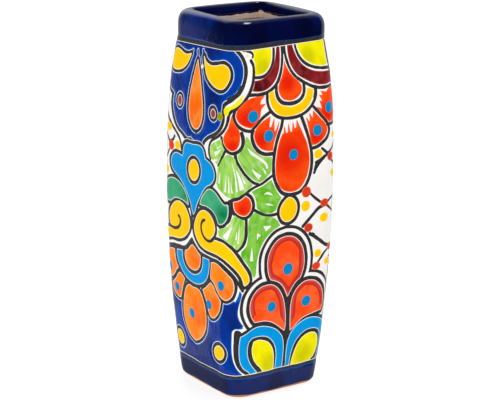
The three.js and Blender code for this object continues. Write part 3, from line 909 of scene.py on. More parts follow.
def round_the_vase(u, section, half, inset=0.0):
    """Plan points at u, measured from the near corner; each side is turned into its place."""
    face = np.floor(u / SIDE)
    x, y = section.point(2 * (u / SIDE - face) - 1, half, inset)
    turn = face * math.pi / 2
    return np.stack([x * np.cos(turn) - y * np.sin(turn), x * np.sin(turn) + y * np.cos(turn)], -1)


def on_the_wall(u, z, height):
    """Places of points of the design, height above the wall's glaze."""
    plan = round_the_vase(u, WALL, half_width(z) + height)
    return np.column_stack([plan, z])


# ---- cutting the design into paints ---------------------------------------------------------------

FOOT_EDGE = 2.4               # the glaze stops here, above a bare clay foot
RIM_LINE = 285.05             # height of the black line under the rim, on average
RIM_TILT = 2.86               # how far it climbs from the left corner to the right one
RIM_LINE_WIDTH = 2.8
SPREAD = 1.9                  # spacing of points inside a patch
ROW = SPREAD * 0.87           # spacing of rows of such points
CLEARANCE = 1.5               # how far such points stay from a paint's edge
FRINGE = 0.42                 # distance from a paint's edge to its next row of points
FRINGE_SPREAD = 0.5           # spacing of points along that row
BEAD = 0.3                    # spacing of points that stand for an edge, to measure distances
SAME_POINT = 1e-5             # points nearer than this become one
GROUND = {'paint': 'white', 'layer': -1}      # where nothing is painted


def near_copies(loop):
    """The loop, and its repeats that reach into the two sides being drawn. Each turns left and
    starts at its lowest point, so that the cut knows its inside."""
    loop = turned_left(loop)
    loop = np.roll(loop, -np.argmin(loop[:, 1]), 0)
    for shift in (-PERIOD, 0, PERIOD):
        moved = loop + (shift, 0)
        if moved[:, 0].max() > -SIDE and moved[:, 0].min() < SIDE:
            yield moved


def paint_key(shape):
    """Shapes of one paint run together, unless they have a heart or a brush angle of their own."""
    return (shape['paint'], id(shape)) if 'heart' in shape or 'angle' in shape else shape['paint']


def triangulate(points, edges, faces):
    """Triangles over all the points that keep the given edges, and the faces each lies in."""
    given = [Vector(p) for p in points]
    verts, _, cells, _, _, sources = delaunay_2d_cdt(given, edges, faces, 0, SAME_POINT, True)
    return np.array([tuple(v) for v in verts]), np.array([tuple(c) for c in cells]), sources


def rim_line(u):
    """Height of the middle of the black line under the rim."""
    plan = round_the_vase(u, WALL, 1)
    return RIM_LINE + RIM_TILT * (plan[..., 0] - plan[..., 1]) / 2


def skin_top(u):
    """Height at which the painted wall ends and the black line under the rim begins."""
    return rim_line(u) - RIM_LINE_WIDTH / 2


def skin_foot(u):
    """Height of the uneven edge at which the glaze ends."""
    turn = 2 * math.pi * u / PERIOD
    return FOOT_EDGE + 0.3 * np.sin(3 * turn + 1) + 0.2 * np.sin(8 * turn)


def frame_loop():
    """The outline of the two sides being drawn."""
    u = np.linspace(-SIDE, SIDE, 1 + round(2 * SIDE / SPREAD))
    foot = np.column_stack([u, skin_foot(u)])
    top = np.column_stack([u, skin_top(u)])
    up = np.linspace(0, 1, 1 + round(SHOULDER / SPREAD))[1:-1, None]
    right = foot[-1] + (top[-1] - foot[-1]) * up
    left = foot[0] + (right - foot[-1])
    return np.vstack([foot, right, top[::-1], left[::-1]])


def inside_frame(points):
    """Which points lie on the two sides being drawn."""
    u, z = points.T
    return (abs(u) < SIDE) & (z > skin_foot(u)) & (z < skin_top(u))


def overlay():
    """First pass: every painted shape laid over the others. Returns triangles and owners."""
    order = sorted(shapes, key=lambda s: s['layer'])
    points, faces, owners = [], [], []
    loops = [frame_loop()]
    for shape in order:
        for loop in near_copies(shape['loop']):
            loops.append(loop)
            owners.append(shape)
    start = 0
    for loop in loops:
        faces.append(list(range(start, start + len(loop))))
        points.append(loop)
        start += len(loop)
    verts, cells, sources = triangulate(np.vstack(points), [], faces)
    kept, owned = [], []
    for cell_points, source in zip(cells, sources):
        if 0 in source:
            kept.append(cell_points)
            owned.append(owners[max(source) - 1] if len(source) > 1 else GROUND)
    return verts, np.array(kept), owned


def visible_edges(cells, keys):
    """Edges between two different paints, and the frame's own."""
    sides = {}
    for cell_points, key in zip(cells.tolist(), keys):
        for a, b in zip(cell_points, cell_points[1:] + cell_points[:1]):
            sides.setdefault((min(a, b), max(a, b)), []).append(key)
    return {edge: pair for edge, pair in sides.items() if len(pair) == 1 or pair[0] != pair[1]}


def tree_of(points):
    """Points of the design, ready to be searched for the nearest."""
    tree = KDTree(len(points))
    for i, point in enumerate(points):
        tree.insert((point[0], point[1], 0), i)
    tree.balance()
    return tree


def distances(points, tree):
    """How far each point lies from the nearest in a tree."""
    return np.array([tree.find((x, z, 0))[2] for x, z in points])


def beads_on(segments):
    """Points along segments, given as an (n, 2, 2) array."""
    out = []
    for a, b in segments:
        count = max(1, math.ceil(math.hypot(*(b - a)) / BEAD))
        out.append(a + (b - a) * (np.arange(count)[:, None] + 0.5) / count)
    return np.vstack(out)


class Spacing:
    """Accepts points that keep a distance from those accepted before."""

    def __init__(self, gap):
        self.gap = gap
        self.boxes = {}

    def accepts(self, point):
        x, z = point
        i, j = int(x // self.gap), int(z // self.gap)
        for di in (-1, 0, 1):
            for dj in (-1, 0, 1):
                for other in self.boxes.get((i + di, j + dj), ()):
                    if math.hypot(other[0] - x, other[1] - z) < self.gap:
                        return False
        self.boxes.setdefault((i, j), []).append((x, z))
        return True


def fill_points(segments, beads):
    """Points that give a patch its rounded edge, and fill its middle."""
    along = segments[:, 1] - segments[:, 0]
    length = np.hypot(*along.T)
    side = np.stack([along[:, 1], -along[:, 0]], 1) / np.maximum(length, 1e-9)[:, None]
    middle = segments.mean(1)
    fringe = np.vstack([middle + side * FRINGE, middle - side * FRINGE])
    away = distances(fringe, beads)
    spacing = Spacing(FRINGE_SPREAD)
    fringe = [p for p, d in zip(fringe, away) if d > 0.8 * FRINGE and spacing.accepts(p)]
    rows = np.arange(FOOT_EDGE + SPREAD / 2, SHOULDER, ROW)
    grid = [(u + (i % 2) * SPREAD / 2, z) for i, z in enumerate(rows)
            for u in np.arange(-SIDE + SPREAD / 2, SIDE - SPREAD / 2, SPREAD)]
    grid = np.array(grid)
    away = distances(grid, beads)
    points = np.vstack([fringe, grid[away > CLEARANCE]])
    return points[inside_frame(points)]


def paint_skin():
    """The cut design: points, triangles, and the shape that owns each triangle."""
    verts, cells, owners = overlay()
    keys = [paint_key(owner) for owner in owners]
    edges = visible_edges(cells, keys)
    used = sorted({i for edge in edges for i in edge})
    place = {old: new for new, old in enumerate(used)}
    lines = [(place[a], place[b]) for a, b in edges]
    outline_points = verts[used]
    segments = outline_points[np.array(lines)]
    beads = tree_of(beads_on(segments))
    points = np.vstack([outline_points, fill_points(segments, beads)])
    fine, triangles, _ = triangulate(points, lines, [])
    finder = BVHTree.FromPolygons([(x, z, 0) for x, z in verts], cells.tolist())
    centres = fine[triangles].mean(1)
    above = [finder.ray_cast((x, z, 1), (0, 0, -1))[2] for x, z in centres]
    good = [i for i, hit in enumerate(above) if hit is not None]
    return fine, triangles[good], [owners[above[i]] for i in good]


# ---- wrapping it round the vase -------------------------------------------------------------------

# Paint: material slot, and how far its middle stands above its edge, in millimetres
PAINTS = {
    'white': ('white_glaze', 0.12),
    'black': ('black_line', 0.04),
    'cobalt': ('cobalt_glaze', 0.25),
    'golden': ('golden_glaze', 0.32),
    'orange': ('orange_glaze', 0.3),
    'red': ('red_glaze', 0.3),
    'coral': ('red_glaze', 0.3),
    'knot_red': ('red_glaze', 0.3),
    'maroon': ('maroon_glaze', 0.3),
    'rose': ('maroon_glaze', 0.3),
    'rose_mist': ('maroon_glaze', 0.1),
    'sky': ('sky_blue_glaze', 0.3),
    'dot_blue': ('sky_blue_glaze', 0.35),
    'teal': ('teal_glaze', 0.3),
    'leaf': ('leaf_green_glaze', 0.2),
    'lime': ('lime_glaze', 0.3),
    'olive': ('lime_glaze', 0.25),
}
SOFTNESS = 0.9                # how quickly a paint rises from its edge, mm
GLAZE = 0.48                  # thickness of the glaze, which runs out to nothing at the foot
RUN_OUT = 1.2                 # height over which it does so
SEAM_SLACK = 1e-3             # points this near to a side's end lie on the seam
# How far the far sides stray from the near ones, along and up
STRAY_ALONG, STRAY_UP = 1.5, 1.4


def facing_sums(places, faces):
    """For each point, the sum of its faces' directions, each as long as the face is large."""
    corners = places[faces]
    facing = np.cross(corners[:, -2] - corners[:, 0], corners[:, -1] - corners[:, -3])
    sums = np.zeros_like(places)
    for column in faces.T:
        np.add.at(sums, column, facing)
    return sums


def unit(vectors):
    return vectors / np.linalg.norm(vectors, axis=-1, keepdims=True)


def redrawn(points):
    """The design on the far sides: a little out of place, but not where the sides meet."""
    u, z = points.T
    hold = np.cos(u / SIDE * math.pi / 2) * np.clip((z - 22) / 40, 0, 1)
    du = STRAY_ALONG * np.sin(z / 31 + 1.3) * np.cos(u / 43) * hold
    dz = STRAY_UP * np.cos(u / 37 + 0.6) * np.sin(z / 47) * hold * np.clip((270 - z) / 40, 0, 1)
    lift = (rim_line(u + PERIOD) - rim_line(u)) * np.clip((z - 215) / 65, 0, 1)
    return np.stack([u + du, z + dz + lift], 1)


class Skin:
    """The painted wall: the cut design, and where its points lie on the vase."""

    def __init__(self):
        self.points, self.triangles, self.owners = paint_skin()
        self.measure()
        self.wrap()

    def measure(self):
        """How far every point lies from the edge of its paint, and from the edge of the broad
        patch it belongs to, whose dots and streaks are left out."""
        keys = [paint_key(owner) for owner in self.owners]
        edges = visible_edges(self.triangles, [owner['paint'] for owner in self.owners])
        inner = [edge for edge, pair in edges.items() if len(pair) == 2]
        self.edge = distances(self.points, tree_of(beads_on(self.points[np.array(inner)])))
        flat_keys = ['over' if owner['layer'] >= DOT else key for key, owner in zip(keys, self.owners)]
        broad = [edge for edge, pair in visible_edges(self.triangles, flat_keys).items()
                 if len(pair) == 2 and 'over' not in pair]
        self.broad_edge = distances(self.points, tree_of(beads_on(self.points[np.array(broad)])))

    def rise(self):
        """How far every point stands off the wall."""
        u, z = self.points.T
        rise = np.zeros(len(self.points))
        for triangle, owner in zip(self.triangles, self.owners):
            rise[triangle] = PAINTS[owner['paint']][1]
        rise *= 1 - np.exp(-self.edge / SOFTNESS)
        return rise - GLAZE * (1 - np.clip((z - skin_foot(u)) / RUN_OUT, 0, 1))

    def wrap(self):
        """Places and normals of the near points, then of the far ones."""
        rise = self.rise()
        near = on_the_wall(self.points[:, 0], self.points[:, 1], rise)
        moved = redrawn(self.points)
        far = on_the_wall(moved[:, 0] + PERIOD, moved[:, 1], rise)
        self.places = np.vstack([near, far])
        faces = np.vstack([self.triangles, self.triangles + len(self.points)])
        normals = facing_sums(self.places, faces)
        self.share_seams(normals)
        self.normals = unit(normals)

    def share_seams(self, normals):
        """Points that meet at a seam get one normal."""
        on_seam = np.flatnonzero(abs(abs(self.points[:, 0]) - SIDE) < SEAM_SLACK)
        rows = np.concatenate([on_seam, on_seam + len(self.points)])
        groups = {}
        for row in rows:
            groups.setdefault(tuple(np.round(self.places[row], 1)), []).append(row)
        for group in groups.values():
            normals[group] = normals[group].sum(0)

    def pieces(self):
        """One mesh for each paint, near and far sides together."""
        count = len(self.points)
        paints = np.array([owner['paint'] for owner in self.owners])
        for paint in PAINTS:
            picked = np.flatnonzero(paints == paint)
            if len(picked) == 0:
                continue
            used, local = np.unique(self.triangles[picked], return_inverse=True)
            local = local.reshape(-1, 3)
            both = np.concatenate([used, used + count])
            looks = self.looks(picked, used, local)
            looks = {name: np.tile(values, 2) for name, values in looks.items()}
            faces = np.vstack([local, local + len(used)])
            yield paint, self.places[both], faces, self.normals[both], looks

    def looks(self, picked, used, local):
        """What the glaze needs to know at each point of a piece."""
        points = self.points[used]
        over = np.zeros(len(used), bool)
        deep, tone, angle = np.ones(len(used)), np.zeros(len(used)), np.zeros(len(used))
        for index, corners in zip(picked, local):
            owner = self.owners[index]
            over[corners] = owner['layer'] >= DOT
            tone[corners] = owner.get('tone', 0)
            angle[corners] = math.radians(owner.get('angle', 0))
            if 'heart' in owner:
                x, z, radius = owner['heart']
                shift = PERIOD * np.round((points[corners, 0] - x) / PERIOD)
                away = np.hypot(points[corners, 0] - shift - x, points[corners, 1] - z)
                deep[corners] = np.minimum(away / radius, 1)
        edge = np.where(over, self.edge[used], self.broad_edge[used])
        u, z = points.T
        return {'edge': edge, 'deep': deep, 'tone': tone,
                'along': u * np.cos(angle) + z * np.sin(angle),
                'across': z * np.cos(angle) - u * np.sin(angle)}


def mesh_piece(name, places, faces, normals, looks, material, slot):
    """A piece in the scene. Its looks become attributes that its material reads."""
    mesh = bpy.data.meshes.new(name)
    mesh.from_pydata((places * MM).tolist(), [], faces.tolist())
    mesh.shade_smooth()
    for look, values in looks.items():
        mesh.attributes.new(look, 'FLOAT', 'POINT').data.foreach_set('value', values.astype(np.float32))
    mesh.normals_split_custom_set_from_vertices(normals.tolist())
    mesh.materials.append(material)
    piece = bpy.data.objects.new(name, mesh)
    bpy.context.scene.collection.objects.link(piece)
    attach(piece, 'root')
    return piece


# ---- rim ------------------------------------------------------------------------------------------

ROLL = CREST_HEIGHT - SHOULDER        # height of the roll
FULLNESS = 0.8                # how full the roll is: 1 would be an ellipse, less is squarer
LIP_INSET = 13.2              # from the outside of the neck to the inside of the lip
RIM_POINTS = 400              # round the vase
EVEN_FROM = 0.9               # from this share of the way up the roll on, the cobalt is even
# Where the cobalt ran thin and how far round, as shares of PERIOD, and by how much
THIN_AT, THIN_REACH, THINNED = -0.33, 0.16, 0.75

LINE_OVERLAP = 0.5            # how far the black line laps over the painted wall below it
LINE_HEIGHT = 0.16            # how far its middle stands off the wall's glaze
LINE_FALL = 0.08              # how much lower its edges lie

DRIP = 1.95                   # how far down inside the cobalt ends, on the scale of ring_places
WAY_OVER = 44                 # length of the way up, over and down inside, roughly, mm
COBALT_ROWS = 56
TUCKED_ROWS = 4               # rows at the inner edge that sink into the clay
TUCK = 0.5                    # how deep they sink
EASED = 0.22                  # how far the cobalt draws in where it meets the black line
EASE_RATE = 40                # how soon it is full again, per share of the way over the rim


def ring_places(u, t):
    """Points of the neck and rolled rim. t runs up the neck from the black line's lower edge at
    -1 to the shoulder at 0, then over the crest at 1 and down inside to 2."""
    low = skin_top(u)
    neck_z = low + (SHOULDER - low) * np.clip(t + 1, -1, 1)
    crest = round_the_vase(u, CREST, CREST_HALF)
    outside = round_the_vase(u, WALL, half_width(neck_z) + PAINTS['cobalt'][1])
    inside = round_the_vase(u, WALL, NECK_HALF, LIP_INSET)
    angle = np.clip(np.where(t < 1, t, 2 - t), 0, 1) * math.pi / 2
    edge = np.where((t < 1)[..., None], outside, inside)
    plan = crest + (edge - crest) * (np.cos(angle)**FULLNESS)[..., None]
    z = np.where(t < 0, neck_z, SHOULDER + ROLL * np.sin(angle)**FULLNESS)
    return np.concatenate([plan, z[..., None]], -1)


def ring_faces(rows, size):
    """Quads between neighbouring rings of points."""
    row, column = np.meshgrid(np.arange(rows - 1), np.arange(size), indexing='ij')
    a = (row * size + column).ravel()
    b = (row * size + (column + 1) % size).ravel()
    return np.stack([a, b, b + size, a + size], 1)


def ring_piece(name, u, t, edge, sink, material, slot):
    """A band round the vase. t, edge and sink have a row for each ring of points."""
    wide = np.broadcast_to(u, t.shape)
    places = ring_places(wide, t)
    places[..., :2] -= unit(places[..., :2]) * np.broadcast_to(sink, t.shape)[..., None]
    flat = places.reshape(-1, 3)
    faces = ring_faces(*t.shape)
    astray = (wide / PERIOD - THIN_AT + 0.5) % 1 - 0.5
    dark = 1 - THINNED * np.exp(-(astray / THIN_REACH)**2) * (t < EVEN_FROM)
    looks = {'edge': np.broadcast_to(edge, t.shape).ravel(), 'deep': np.ones(len(flat)),
             'tone': dark.ravel(), 'along': wide.ravel(), 'across': flat[:, 2]}
    return mesh_piece(name, flat, faces, unit(facing_sums(flat, faces)), looks, material, slot)


def line_under_rim(u, width, material):
    """The black line under the rim, lower than the cobalt and highest along its middle."""
    share = np.linspace(0, 1, 9)[:, None]
    neck = SHOULDER - skin_top(u)
    t = -1 + (share * (width + LINE_OVERLAP) - LINE_OVERLAP) / neck
    from_edge = width / 2 * (1 - abs(2 * share - 1))
    sink = PAINTS['cobalt'][1] - LINE_HEIGHT + LINE_FALL * (2 * share - 1)**2
    ring_piece('black_line_under_rim', u, t, from_edge, sink, material, 'black_line')


def cobalt_rim(u, width, material):
    """The cobalt from the black line up over the lip, and a little way down inside."""
    turn = math.pi * u / PERIOD
    drip = (DRIP - 0.06 * np.cos(2 * turn)**2 + 0.02 * np.sin(15 * turn)
            + 0.015 * np.sin(38 * turn) + 0.01 * np.sin(70 * turn))
    share = np.linspace(0, 1, COBALT_ROWS)[:, None]
    low = -1 + width / (SHOULDER - skin_top(u))
    from_edge = np.minimum(share, 1 - share) * WAY_OVER
    tucked = np.clip(1 - (1 - share) * COBALT_ROWS / TUCKED_ROWS, 0, 1)
    sink = EASED * np.exp(-share * EASE_RATE) - TUCK * tucked
    ring_piece('cobalt_rim', u, low + (drip - low) * share, from_edge, sink, material,
               'cobalt_glaze')


def rim(cobalt, black):
    """The black line under the rim and the cobalt over it."""
    u = -SIDE + np.arange(RIM_POINTS) * 2 * PERIOD / RIM_POINTS
    width = RIM_LINE_WIDTH + 0.35 * np.sin(u / 17) + 0.25 * np.sin(u / 7.1 + 2)
    line_under_rim(u, width, black)
    cobalt_rim(u, width, cobalt)


# ---- materials ------------------------------------------------------------------------------------

def linear(colour):
    """An sRGB colour given as 0 to 255, made linear."""
    channels = [c / 255 for c in colour]
    return [c / 12.92 if c <= 0.04045 else ((c + 0.055) / 1.055)**2.4 for c in channels] + [1]


class Nodes:
    """A node tree, put together a few nodes at a time."""

    def __init__(self, tree):
        self.tree = tree

    def put(self, socket, value):
        """Links or sets an input."""
        if isinstance(value, bpy.types.NodeSocket):
            self.tree.links.new(value, socket)
        else:
            socket.default_value = value

    def node(self, kind, output=0, inputs=(), **settings):
        """Adds a node, and returns one of its outputs."""
        node = self.tree.nodes.new(kind)
        for name, value in settings.items():
            setattr(node, name, value)
        for key, value in dict(inputs).items():
            self.put(node.inputs[key], value)
        return node.outputs[output]

    def math(self, operation, *values):
        return self.node('ShaderNodeMath', inputs=enumerate(values), operation=operation)

    def ramp(self, value, low, high, out_low=0.0, out_high=1.0):
        """value eased from low to high."""
        return self.node('ShaderNodeMapRange', inputs={
            'Value': value, 'From Min': low, 'From Max': high, 'To Min': out_low,
            'To Max': out_high}, interpolation_type='SMOOTHSTEP')

    def blend(self, share, first, second):
        """Between two values."""
        return self.node('ShaderNodeMix', inputs={0: share, 2: first, 3: second})


class Surface(Nodes):
    """A material's nodes. Colours are sRGB from 0 to 255, or the sockets of other nodes."""

    def __init__(self, name):
        self.material = bpy.data.materials.new(name)
        self.material.use_nodes = True
        super().__init__(self.material.node_tree)
        self.shader = self.tree.nodes['Principled BSDF']

    def look(self, name):
        """A value that mesh_piece stored at each point."""
        return self.node('ShaderNodeAttribute', 'Fac', attribute_name=name)

    def mix(self, share, first, second):
        """Between two colours."""
        ends = [linear(end) if isinstance(end, tuple) else end for end in (first, second)]
        return self.node('ShaderNodeMix', 2, {0: share, 6: ends[0], 7: ends[1]}, data_type='RGBA')

    def noise(self, scale, vector, detail=2.0, roughness=0.5, distortion=0.0):
        """Clouds between 0 and 1; scale is how many there are to a unit of vector."""
        return self.node('ShaderNodeTexNoise', 'Fac', {
            'Vector': vector, 'Scale': scale, 'Detail': detail, 'Roughness': roughness,
            'Distortion': distortion})

    def unrolled(self, along=1.0, across=1.0):
        """Brush coordinates in millimetres, stretched."""
        return self.node('ShaderNodeCombineXYZ', inputs={
            0: self.math('MULTIPLY', self.look('along'), along),
            1: self.math('MULTIPLY', self.look('across'), across)})

    def edged(self, low, high, rim, colour):
        """A colour that gives way to another within so many mm of its edge."""
        return self.mix(self.ramp(self.look('edge'), low, high), rim, colour)

    def finish(self, colour, roughness, bump, depth, shine=0.5):
        """The whole material, its surface raised by bump to depth metres."""
        self.plain(colour, roughness, shine)
        self.put(self.shader.inputs['Normal'], self.node('ShaderNodeBump', inputs={
            'Height': bump, 'Distance': depth, 'Strength': 1.0}))
        return self.material

    def plain(self, colour, roughness, shine=0.5):
        """The whole material, with a smooth surface."""
        self.put(self.shader.inputs['Base Color'], colour)
        self.put(self.shader.inputs['Specular IOR Level'], shine)
        self.put(self.shader.inputs['Roughness'], roughness)
        return self.material

    def finish_paint(self, colour):
        """The whole material, as glossy and uneven as every colour glaze."""
        return self.finish(colour, PAINT_ROUGHNESS, self.noise(0.5, self.unrolled()), PAINT_BUMP,
                           PAINT_SHINE)


PAINT_SHINE = 0.1             # the colours are duller than the cobalt
PAINT_ROUGHNESS, PAINT_BUMP = 0.16, 0.00012

# Paint: colour at the edge, in the middle, at the heart and where it clouds over; how far it
# clouds; how wide its edge is, mm
COLOURS = {
    'golden': ((255, 216, 30), (255, 204, 0), (255, 188, 0), (255, 192, 0), 0.5, 1.0),
    'orange': ((255, 146, 50), (255, 130, 16), (255, 104, 0), (255, 162, 76), 0.5, 1.5),
    'red': ((255, 96, 44), (253, 80, 12), (230, 32, 0), (240, 44, 2), 0.75, 1.3),
    'knot_red': ((245, 110, 80), (224, 62, 28), (215, 40, 20), (198, 48, 28), 0.6, 0.9),
    'maroon': ((170, 70, 75), (126, 24, 30), (76, 10, 16), (160, 56, 60), 0.6, 1.0),
    'rose': ((200, 130, 135), (154, 66, 78), (140, 50, 65), (170, 90, 95), 0.6, 1.0),
    'rose_mist': ((250, 225, 218), (242, 200, 190), (235, 180, 170), (245, 215, 205), 0.5, 0.8),
    'sky': ((20, 165, 230), (0, 150, 222), (0, 135, 208), (0, 140, 214), 0.6, 1.2),
    'dot_blue': ((0, 142, 202), (0, 132, 194), (0, 125, 185), (0, 138, 200), 0.5, 0.8),
    'teal': ((100, 190, 150), (56, 164, 116), (0, 122, 72), (80, 178, 134), 0.6, 1.2),
    'lime': ((248, 240, 20), (244, 234, 0), (206, 200, 0), (224, 216, 0), 0.6, 1.0),
    'olive': ((178, 176, 50), (152, 148, 0), (130, 126, 0), (162, 158, 0), 0.5, 1.0),
}


def glaze(paint):
    """A colour glaze: pale where it thins at its edge, and uneven where it was brushed on."""
    edge, body, heart, cloud, share, fade = COLOURS[paint]
    surface = Surface(paint)
    colour = surface.mix(surface.ramp(surface.look('deep'), 0.2, 1), heart, body)
    drift = surface.noise(0.1, surface.unrolled(1, 0.7), 3, 0.5, 0.4)
    colour = surface.mix(surface.ramp(drift, 0.42, 0.68, 0, share), colour, cloud)
    return surface.finish_paint(surface.edged(0.05, fade, edge, colour))


def coral_glaze():
    """The big petals: a darker red worn round most of the edge, orange inside it."""
    surface = Surface('coral')
    waver = surface.ramp(surface.noise(0.05, surface.unrolled(), 1), 0.3, 0.7, -1.0, 1.0)
    plain = surface.ramp(surface.look('deep'), 0.9, 1, 6, 0)
    depth = surface.math('ADD', surface.math('ADD', surface.look('edge'), waver), plain)
    border = surface.mix(surface.ramp(depth, 0, 3.5), (220, 76, 66), (190, 46, 40))
    drift = surface.noise(0.07, surface.unrolled())
    inner = surface.mix(surface.ramp(drift, 0.4, 0.65), (255, 76, 18), (255, 98, 44))
    colour = surface.mix(surface.ramp(depth, 3.9, 4.9), border, inner)
    return surface.finish_paint(surface.edged(0.0, 0.6, (240, 120, 100), colour))


def cobalt_glaze():
    """Cobalt: bright where it runs thin, near black where it pooled."""
    surface = Surface('cobalt')
    drift = surface.ramp(surface.noise(0.035, surface.unrolled(1, 0.6), 3, 0.5, 0.5), 0.4, 0.62)
    thin = surface.mix(drift, (2, 58, 160), (10, 36, 112))
    pooled = surface.mix(drift, (2, 9, 58), (2, 5, 40))
    colour = surface.mix(surface.look('tone'), thin, pooled)
    lip = surface.math('MULTIPLY', surface.ramp(surface.look('edge'), 1.5, 0.1),
                       surface.ramp(surface.look('tone'), 0, 1, 1, 0.5))
    colour = surface.mix(lip, colour, (0, 96, 200))
    return surface.finish(colour, 0.1, surface.noise(0.3, surface.unrolled()), 0.00015)


def white_glaze():
    """Tin white, a little uneven."""
    surface = Surface('white')
    cloud = surface.noise(0.05, surface.unrolled(), 3)
    colour = surface.mix(surface.ramp(cloud, 0.3, 0.7), (246, 243, 238), (252, 250, 247))
    return surface.finish(colour, 0.14, surface.noise(0.2, surface.unrolled()), 0.0002)


def black_line():
    """Black line paint, duller than the glazes."""
    surface = Surface('black')
    cloud = surface.noise(0.5, surface.unrolled(), 3)
    colour = surface.mix(surface.ramp(cloud, 0.3, 0.7), (42, 40, 41), (62, 59, 60))
    return surface.finish(colour, 0.3, surface.noise(0.8, surface.unrolled()), 0.0001)


def leaf_glaze():
    """Thin green dragged with a dry brush, so the white shows through it in streaks."""
    surface = Surface('leaf')
    light = surface.mix(surface.look('tone'), (200, 232, 132), (112, 198, 36))
    dark = surface.mix(surface.look('tone'), (138, 206, 62), (66, 164, 0))
    streaks = surface.noise(1.0, surface.unrolled(0.04, 0.4), 3, 0.5, 0.5)
    washes = surface.noise(0.1, surface.unrolled())
    wetness = surface.math('MULTIPLY', surface.look('tone'), 0.8)
    brush = surface.blend(wetness, streaks, washes)
    colour = surface.mix(surface.ramp(brush, 0.33, 0.7), light, dark)
    cloud = surface.noise(0.12, surface.unrolled())
    colour = surface.mix(surface.ramp(cloud, 0.5, 0.8, 0, 0.4), colour, (226, 242, 200))
    return surface.finish(colour, PAINT_ROUGHNESS, brush, 0.0001, PAINT_SHINE)


def bare_clay():
    """Fired clay, browner at the very foot. Its noises and heights are in metres."""
    surface = Surface('clay')
    grain = surface.noise(900, surface.node('ShaderNodeTexCoord', 'Object'), 5, 0.6)
    blotch = surface.noise(60, surface.node('ShaderNodeTexCoord', 'Object'), 3)
    colour = surface.mix(surface.ramp(grain, 0.3, 0.7), (196, 164, 148), (216, 190, 176))
    colour = surface.mix(surface.ramp(blotch, 0.5, 0.75, 0, 0.35), colour, (228, 208, 196))
    place = surface.node('ShaderNodeNewGeometry', 'Position')
    height = surface.node('ShaderNodeSeparateXYZ', 'Z', {0: place})
    colour = surface.mix(surface.ramp(height, 0.004, 0.002), colour, (186, 128, 84))
    return surface.finish(colour, 0.85, grain, 0.0004)


MAKERS = {'coral': coral_glaze, 'cobalt': cobalt_glaze, 'white': white_glaze, 'black': black_line,
          'leaf': leaf_glaze}


def material_for(paint):
    """A new material for a paint."""
    return MAKERS[paint]() if paint in MAKERS else glaze(paint)


# ---- studio ---------------------------------------------------------------------------------------

AZIMUTH, ELEVATION, ROLL_ANGLE = math.radians(-34.642), math.radians(14.886), math.radians(0.562)
DISTANCE = 1.4064
AIM = Vector((0, 0, 0.1525))
SENSOR_WIDTH, LENS = 36, 124.9704     # mm
SHIFT = (0.00152, -0.00444)
CLIP = (0.05, 50)

FLOOR_GREY, FLOOR_ROUGHNESS = (168, 168, 168), 0.6
FLOOR_GLOW = 0.72             # the floor is a light table: this much of its white is its own
MIRRORED_FLOOR = 0.085        # the glaze mirrors the floor no further out than this
NEAR_FLOOR, FAR_FLOOR = 0.35, 12      # radii of the floor that lights the vase, and of all of it

AMBIENT = 1.13                # even light from all round
# What the glaze mirrors: which way a glow lies, from how squarely a reflection must look that
# way to how squarely it sees all of it, and its brightness
MIRRORED = [((0.551, 0.798, -0.243), 0.35, 0.54, 0.72),
            ((0.15, 0.79, 0.6), 0.84, 0.985, 1.1),
            ((0.3, 0.2, 0.93), 0.7, 0.97, 0.32)]
MIRRORED_DARK = 0.01          # how bright the rest of the room is there


def camera():
    """A long lens from in front of the near corner, a little above the vase."""
    towards = Vector((math.sin(AZIMUTH) * math.cos(ELEVATION),
                      -math.cos(AZIMUTH) * math.cos(ELEVATION), math.sin(ELEVATION)))
    right = (-towards).cross(Vector((0, 0, 1))).normalized()
    up = right.cross(-towards)
    c, s = math.cos(ROLL_ANGLE), math.sin(ROLL_ANGLE)
    right, up = right * c + up * s, up * c - right * s
    data = bpy.data.cameras.new('camera')
    data.sensor_width = SENSOR_WIDTH
    data.lens = LENS
    data.shift_x, data.shift_y = SHIFT
    data.clip_start, data.clip_end = CLIP
    eye = bpy.data.objects.new('camera', data)
    place = Matrix((right, up, towards)).transposed().to_4x4()
    place.translation = AIM + towards * DISTANCE
    eye.matrix_world = place
    bpy.context.scene.collection.objects.link(eye)
    bpy.context.scene.camera = eye


def disc(name, inner, outer, material):
    """A flat ring at floor level, or a full disc if inner is 0."""
    count = 96
    angles = [2 * math.pi * i / count for i in range(count)]
    radii = [inner, outer] if inner else [outer]
    verts = [(r * math.cos(a), r * math.sin(a), 0) for r in radii for a in angles]
    faces = [tuple(range(count))]
    if inner:
        ahead = [(i + 1) % count for i in range(count)]
        faces = [(count + i, count + j, j, i) for i, j in enumerate(ahead)]
    mesh = bpy.data.meshes.new(name)
    mesh.from_pydata(verts, [], faces)
    mesh.materials.append(material)
    ring = bpy.data.objects.new(name, mesh)
    bpy.context.scene.collection.objects.link(ring)
    return ring


def floor():
    """A white table. Its glow keeps the shadow under the foot faint, and isn't mirrored."""
    surface = Surface('floor')
    pale = surface.plain(linear(FLOOR_GREY), FLOOR_ROUGHNESS)
    unmirrored = surface.math('SUBTRACT', 1, surface.node('ShaderNodeLightPath', 'Is Glossy Ray'))
    surface.put(surface.shader.inputs['Emission Color'], (1, 1, 1, 1))
    surface.put(surface.shader.inputs['Emission Strength'],
                surface.math('MULTIPLY', unmirrored, FLOOR_GLOW))
    disc('floor_foot', 0, MIRRORED_FLOOR, pale)
    near = disc('floor_near', MIRRORED_FLOOR, NEAR_FLOOR, pale)
    far = disc('floor_far', NEAR_FLOOR, FAR_FLOOR, pale)
    near.visible_glossy = False
    far.visible_glossy = False
    far.visible_diffuse = False


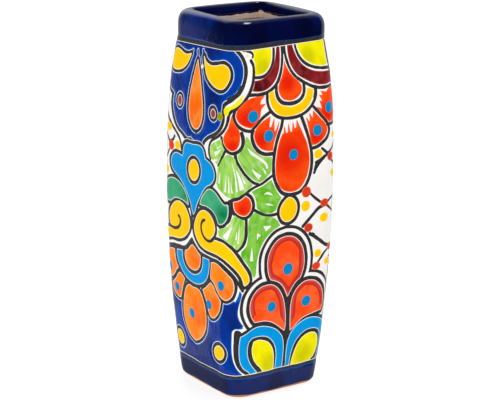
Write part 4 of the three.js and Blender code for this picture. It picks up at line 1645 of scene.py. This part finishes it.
def soft_box(name, towards, distance, size, watts, mirrored):
    """A square area light, aimed at the middle of the vase."""
    data = bpy.data.lights.new(name, 'AREA')
    data.size = size
    data.energy = watts
    light = bpy.data.objects.new(name, data)
    towards = Vector(towards).normalized()
    light.location = AIM + towards * distance
    light.rotation_euler = towards.to_track_quat('Z', 'Y').to_euler()
    light.visible_glossy = mirrored
    bpy.context.scene.collection.objects.link(light)


def world():
    """White behind the vase and even light all round. The glaze mirrors a darker room, lit at
    the back and from above."""
    studio = bpy.data.worlds.new('studio')
    bpy.context.scene.world = studio
    studio.use_nodes = True
    studio.node_tree.nodes.clear()
    nodes = Nodes(studio.node_tree)
    mirrored = MIRRORED_DARK
    for towards, start, full, brightness in MIRRORED:
        squareness = nodes.node('ShaderNodeVectorMath', 'Value', {
            0: nodes.node('ShaderNodeTexCoord', 'Generated'),
            1: Vector(towards).normalized()}, operation='DOT_PRODUCT')
        glow = nodes.ramp(squareness, start, full, 0, brightness)
        mirrored = nodes.math('ADD', glow, mirrored)
    lit = nodes.blend(nodes.node('ShaderNodeLightPath', 'Is Glossy Ray'), AMBIENT, mirrored)
    seen = nodes.blend(nodes.node('ShaderNodeLightPath', 'Is Camera Ray'), lit, 1.0)
    background = nodes.node('ShaderNodeBackground', inputs={'Strength': seen})
    output = nodes.tree.nodes.new('ShaderNodeOutputWorld')
    nodes.put(output.inputs['Surface'], background)


# ---- scene ----------------------------------------------------------------------------------------

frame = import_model()

paint_design()
foot_bands()
rim_band()
clay = bare_clay()
for node in frame['nodes'].values():
    node.data.materials.clear()
    node.data.materials.append(clay)
    node.data.shade_smooth()

materials = {}
for paint, places, faces, normals, looks in Skin().pieces():
    materials[paint] = material_for(paint)
    mesh_piece(f'{paint}_painting', places, faces, normals, looks, materials[paint],
               PAINTS[paint][0])
rim(materials['cobalt'], materials['black'])

bpy.context.scene.view_settings.view_transform = 'Standard'
camera()
floor()
world()
soft_box('top', (0.22, -0.1, 0.96), distance=1.3, size=0.35, watts=5, mirrored=True)
soft_box('left', (-0.8, -0.45, 0.5), distance=1.6, size=0.6, watts=4, mirrored=False)
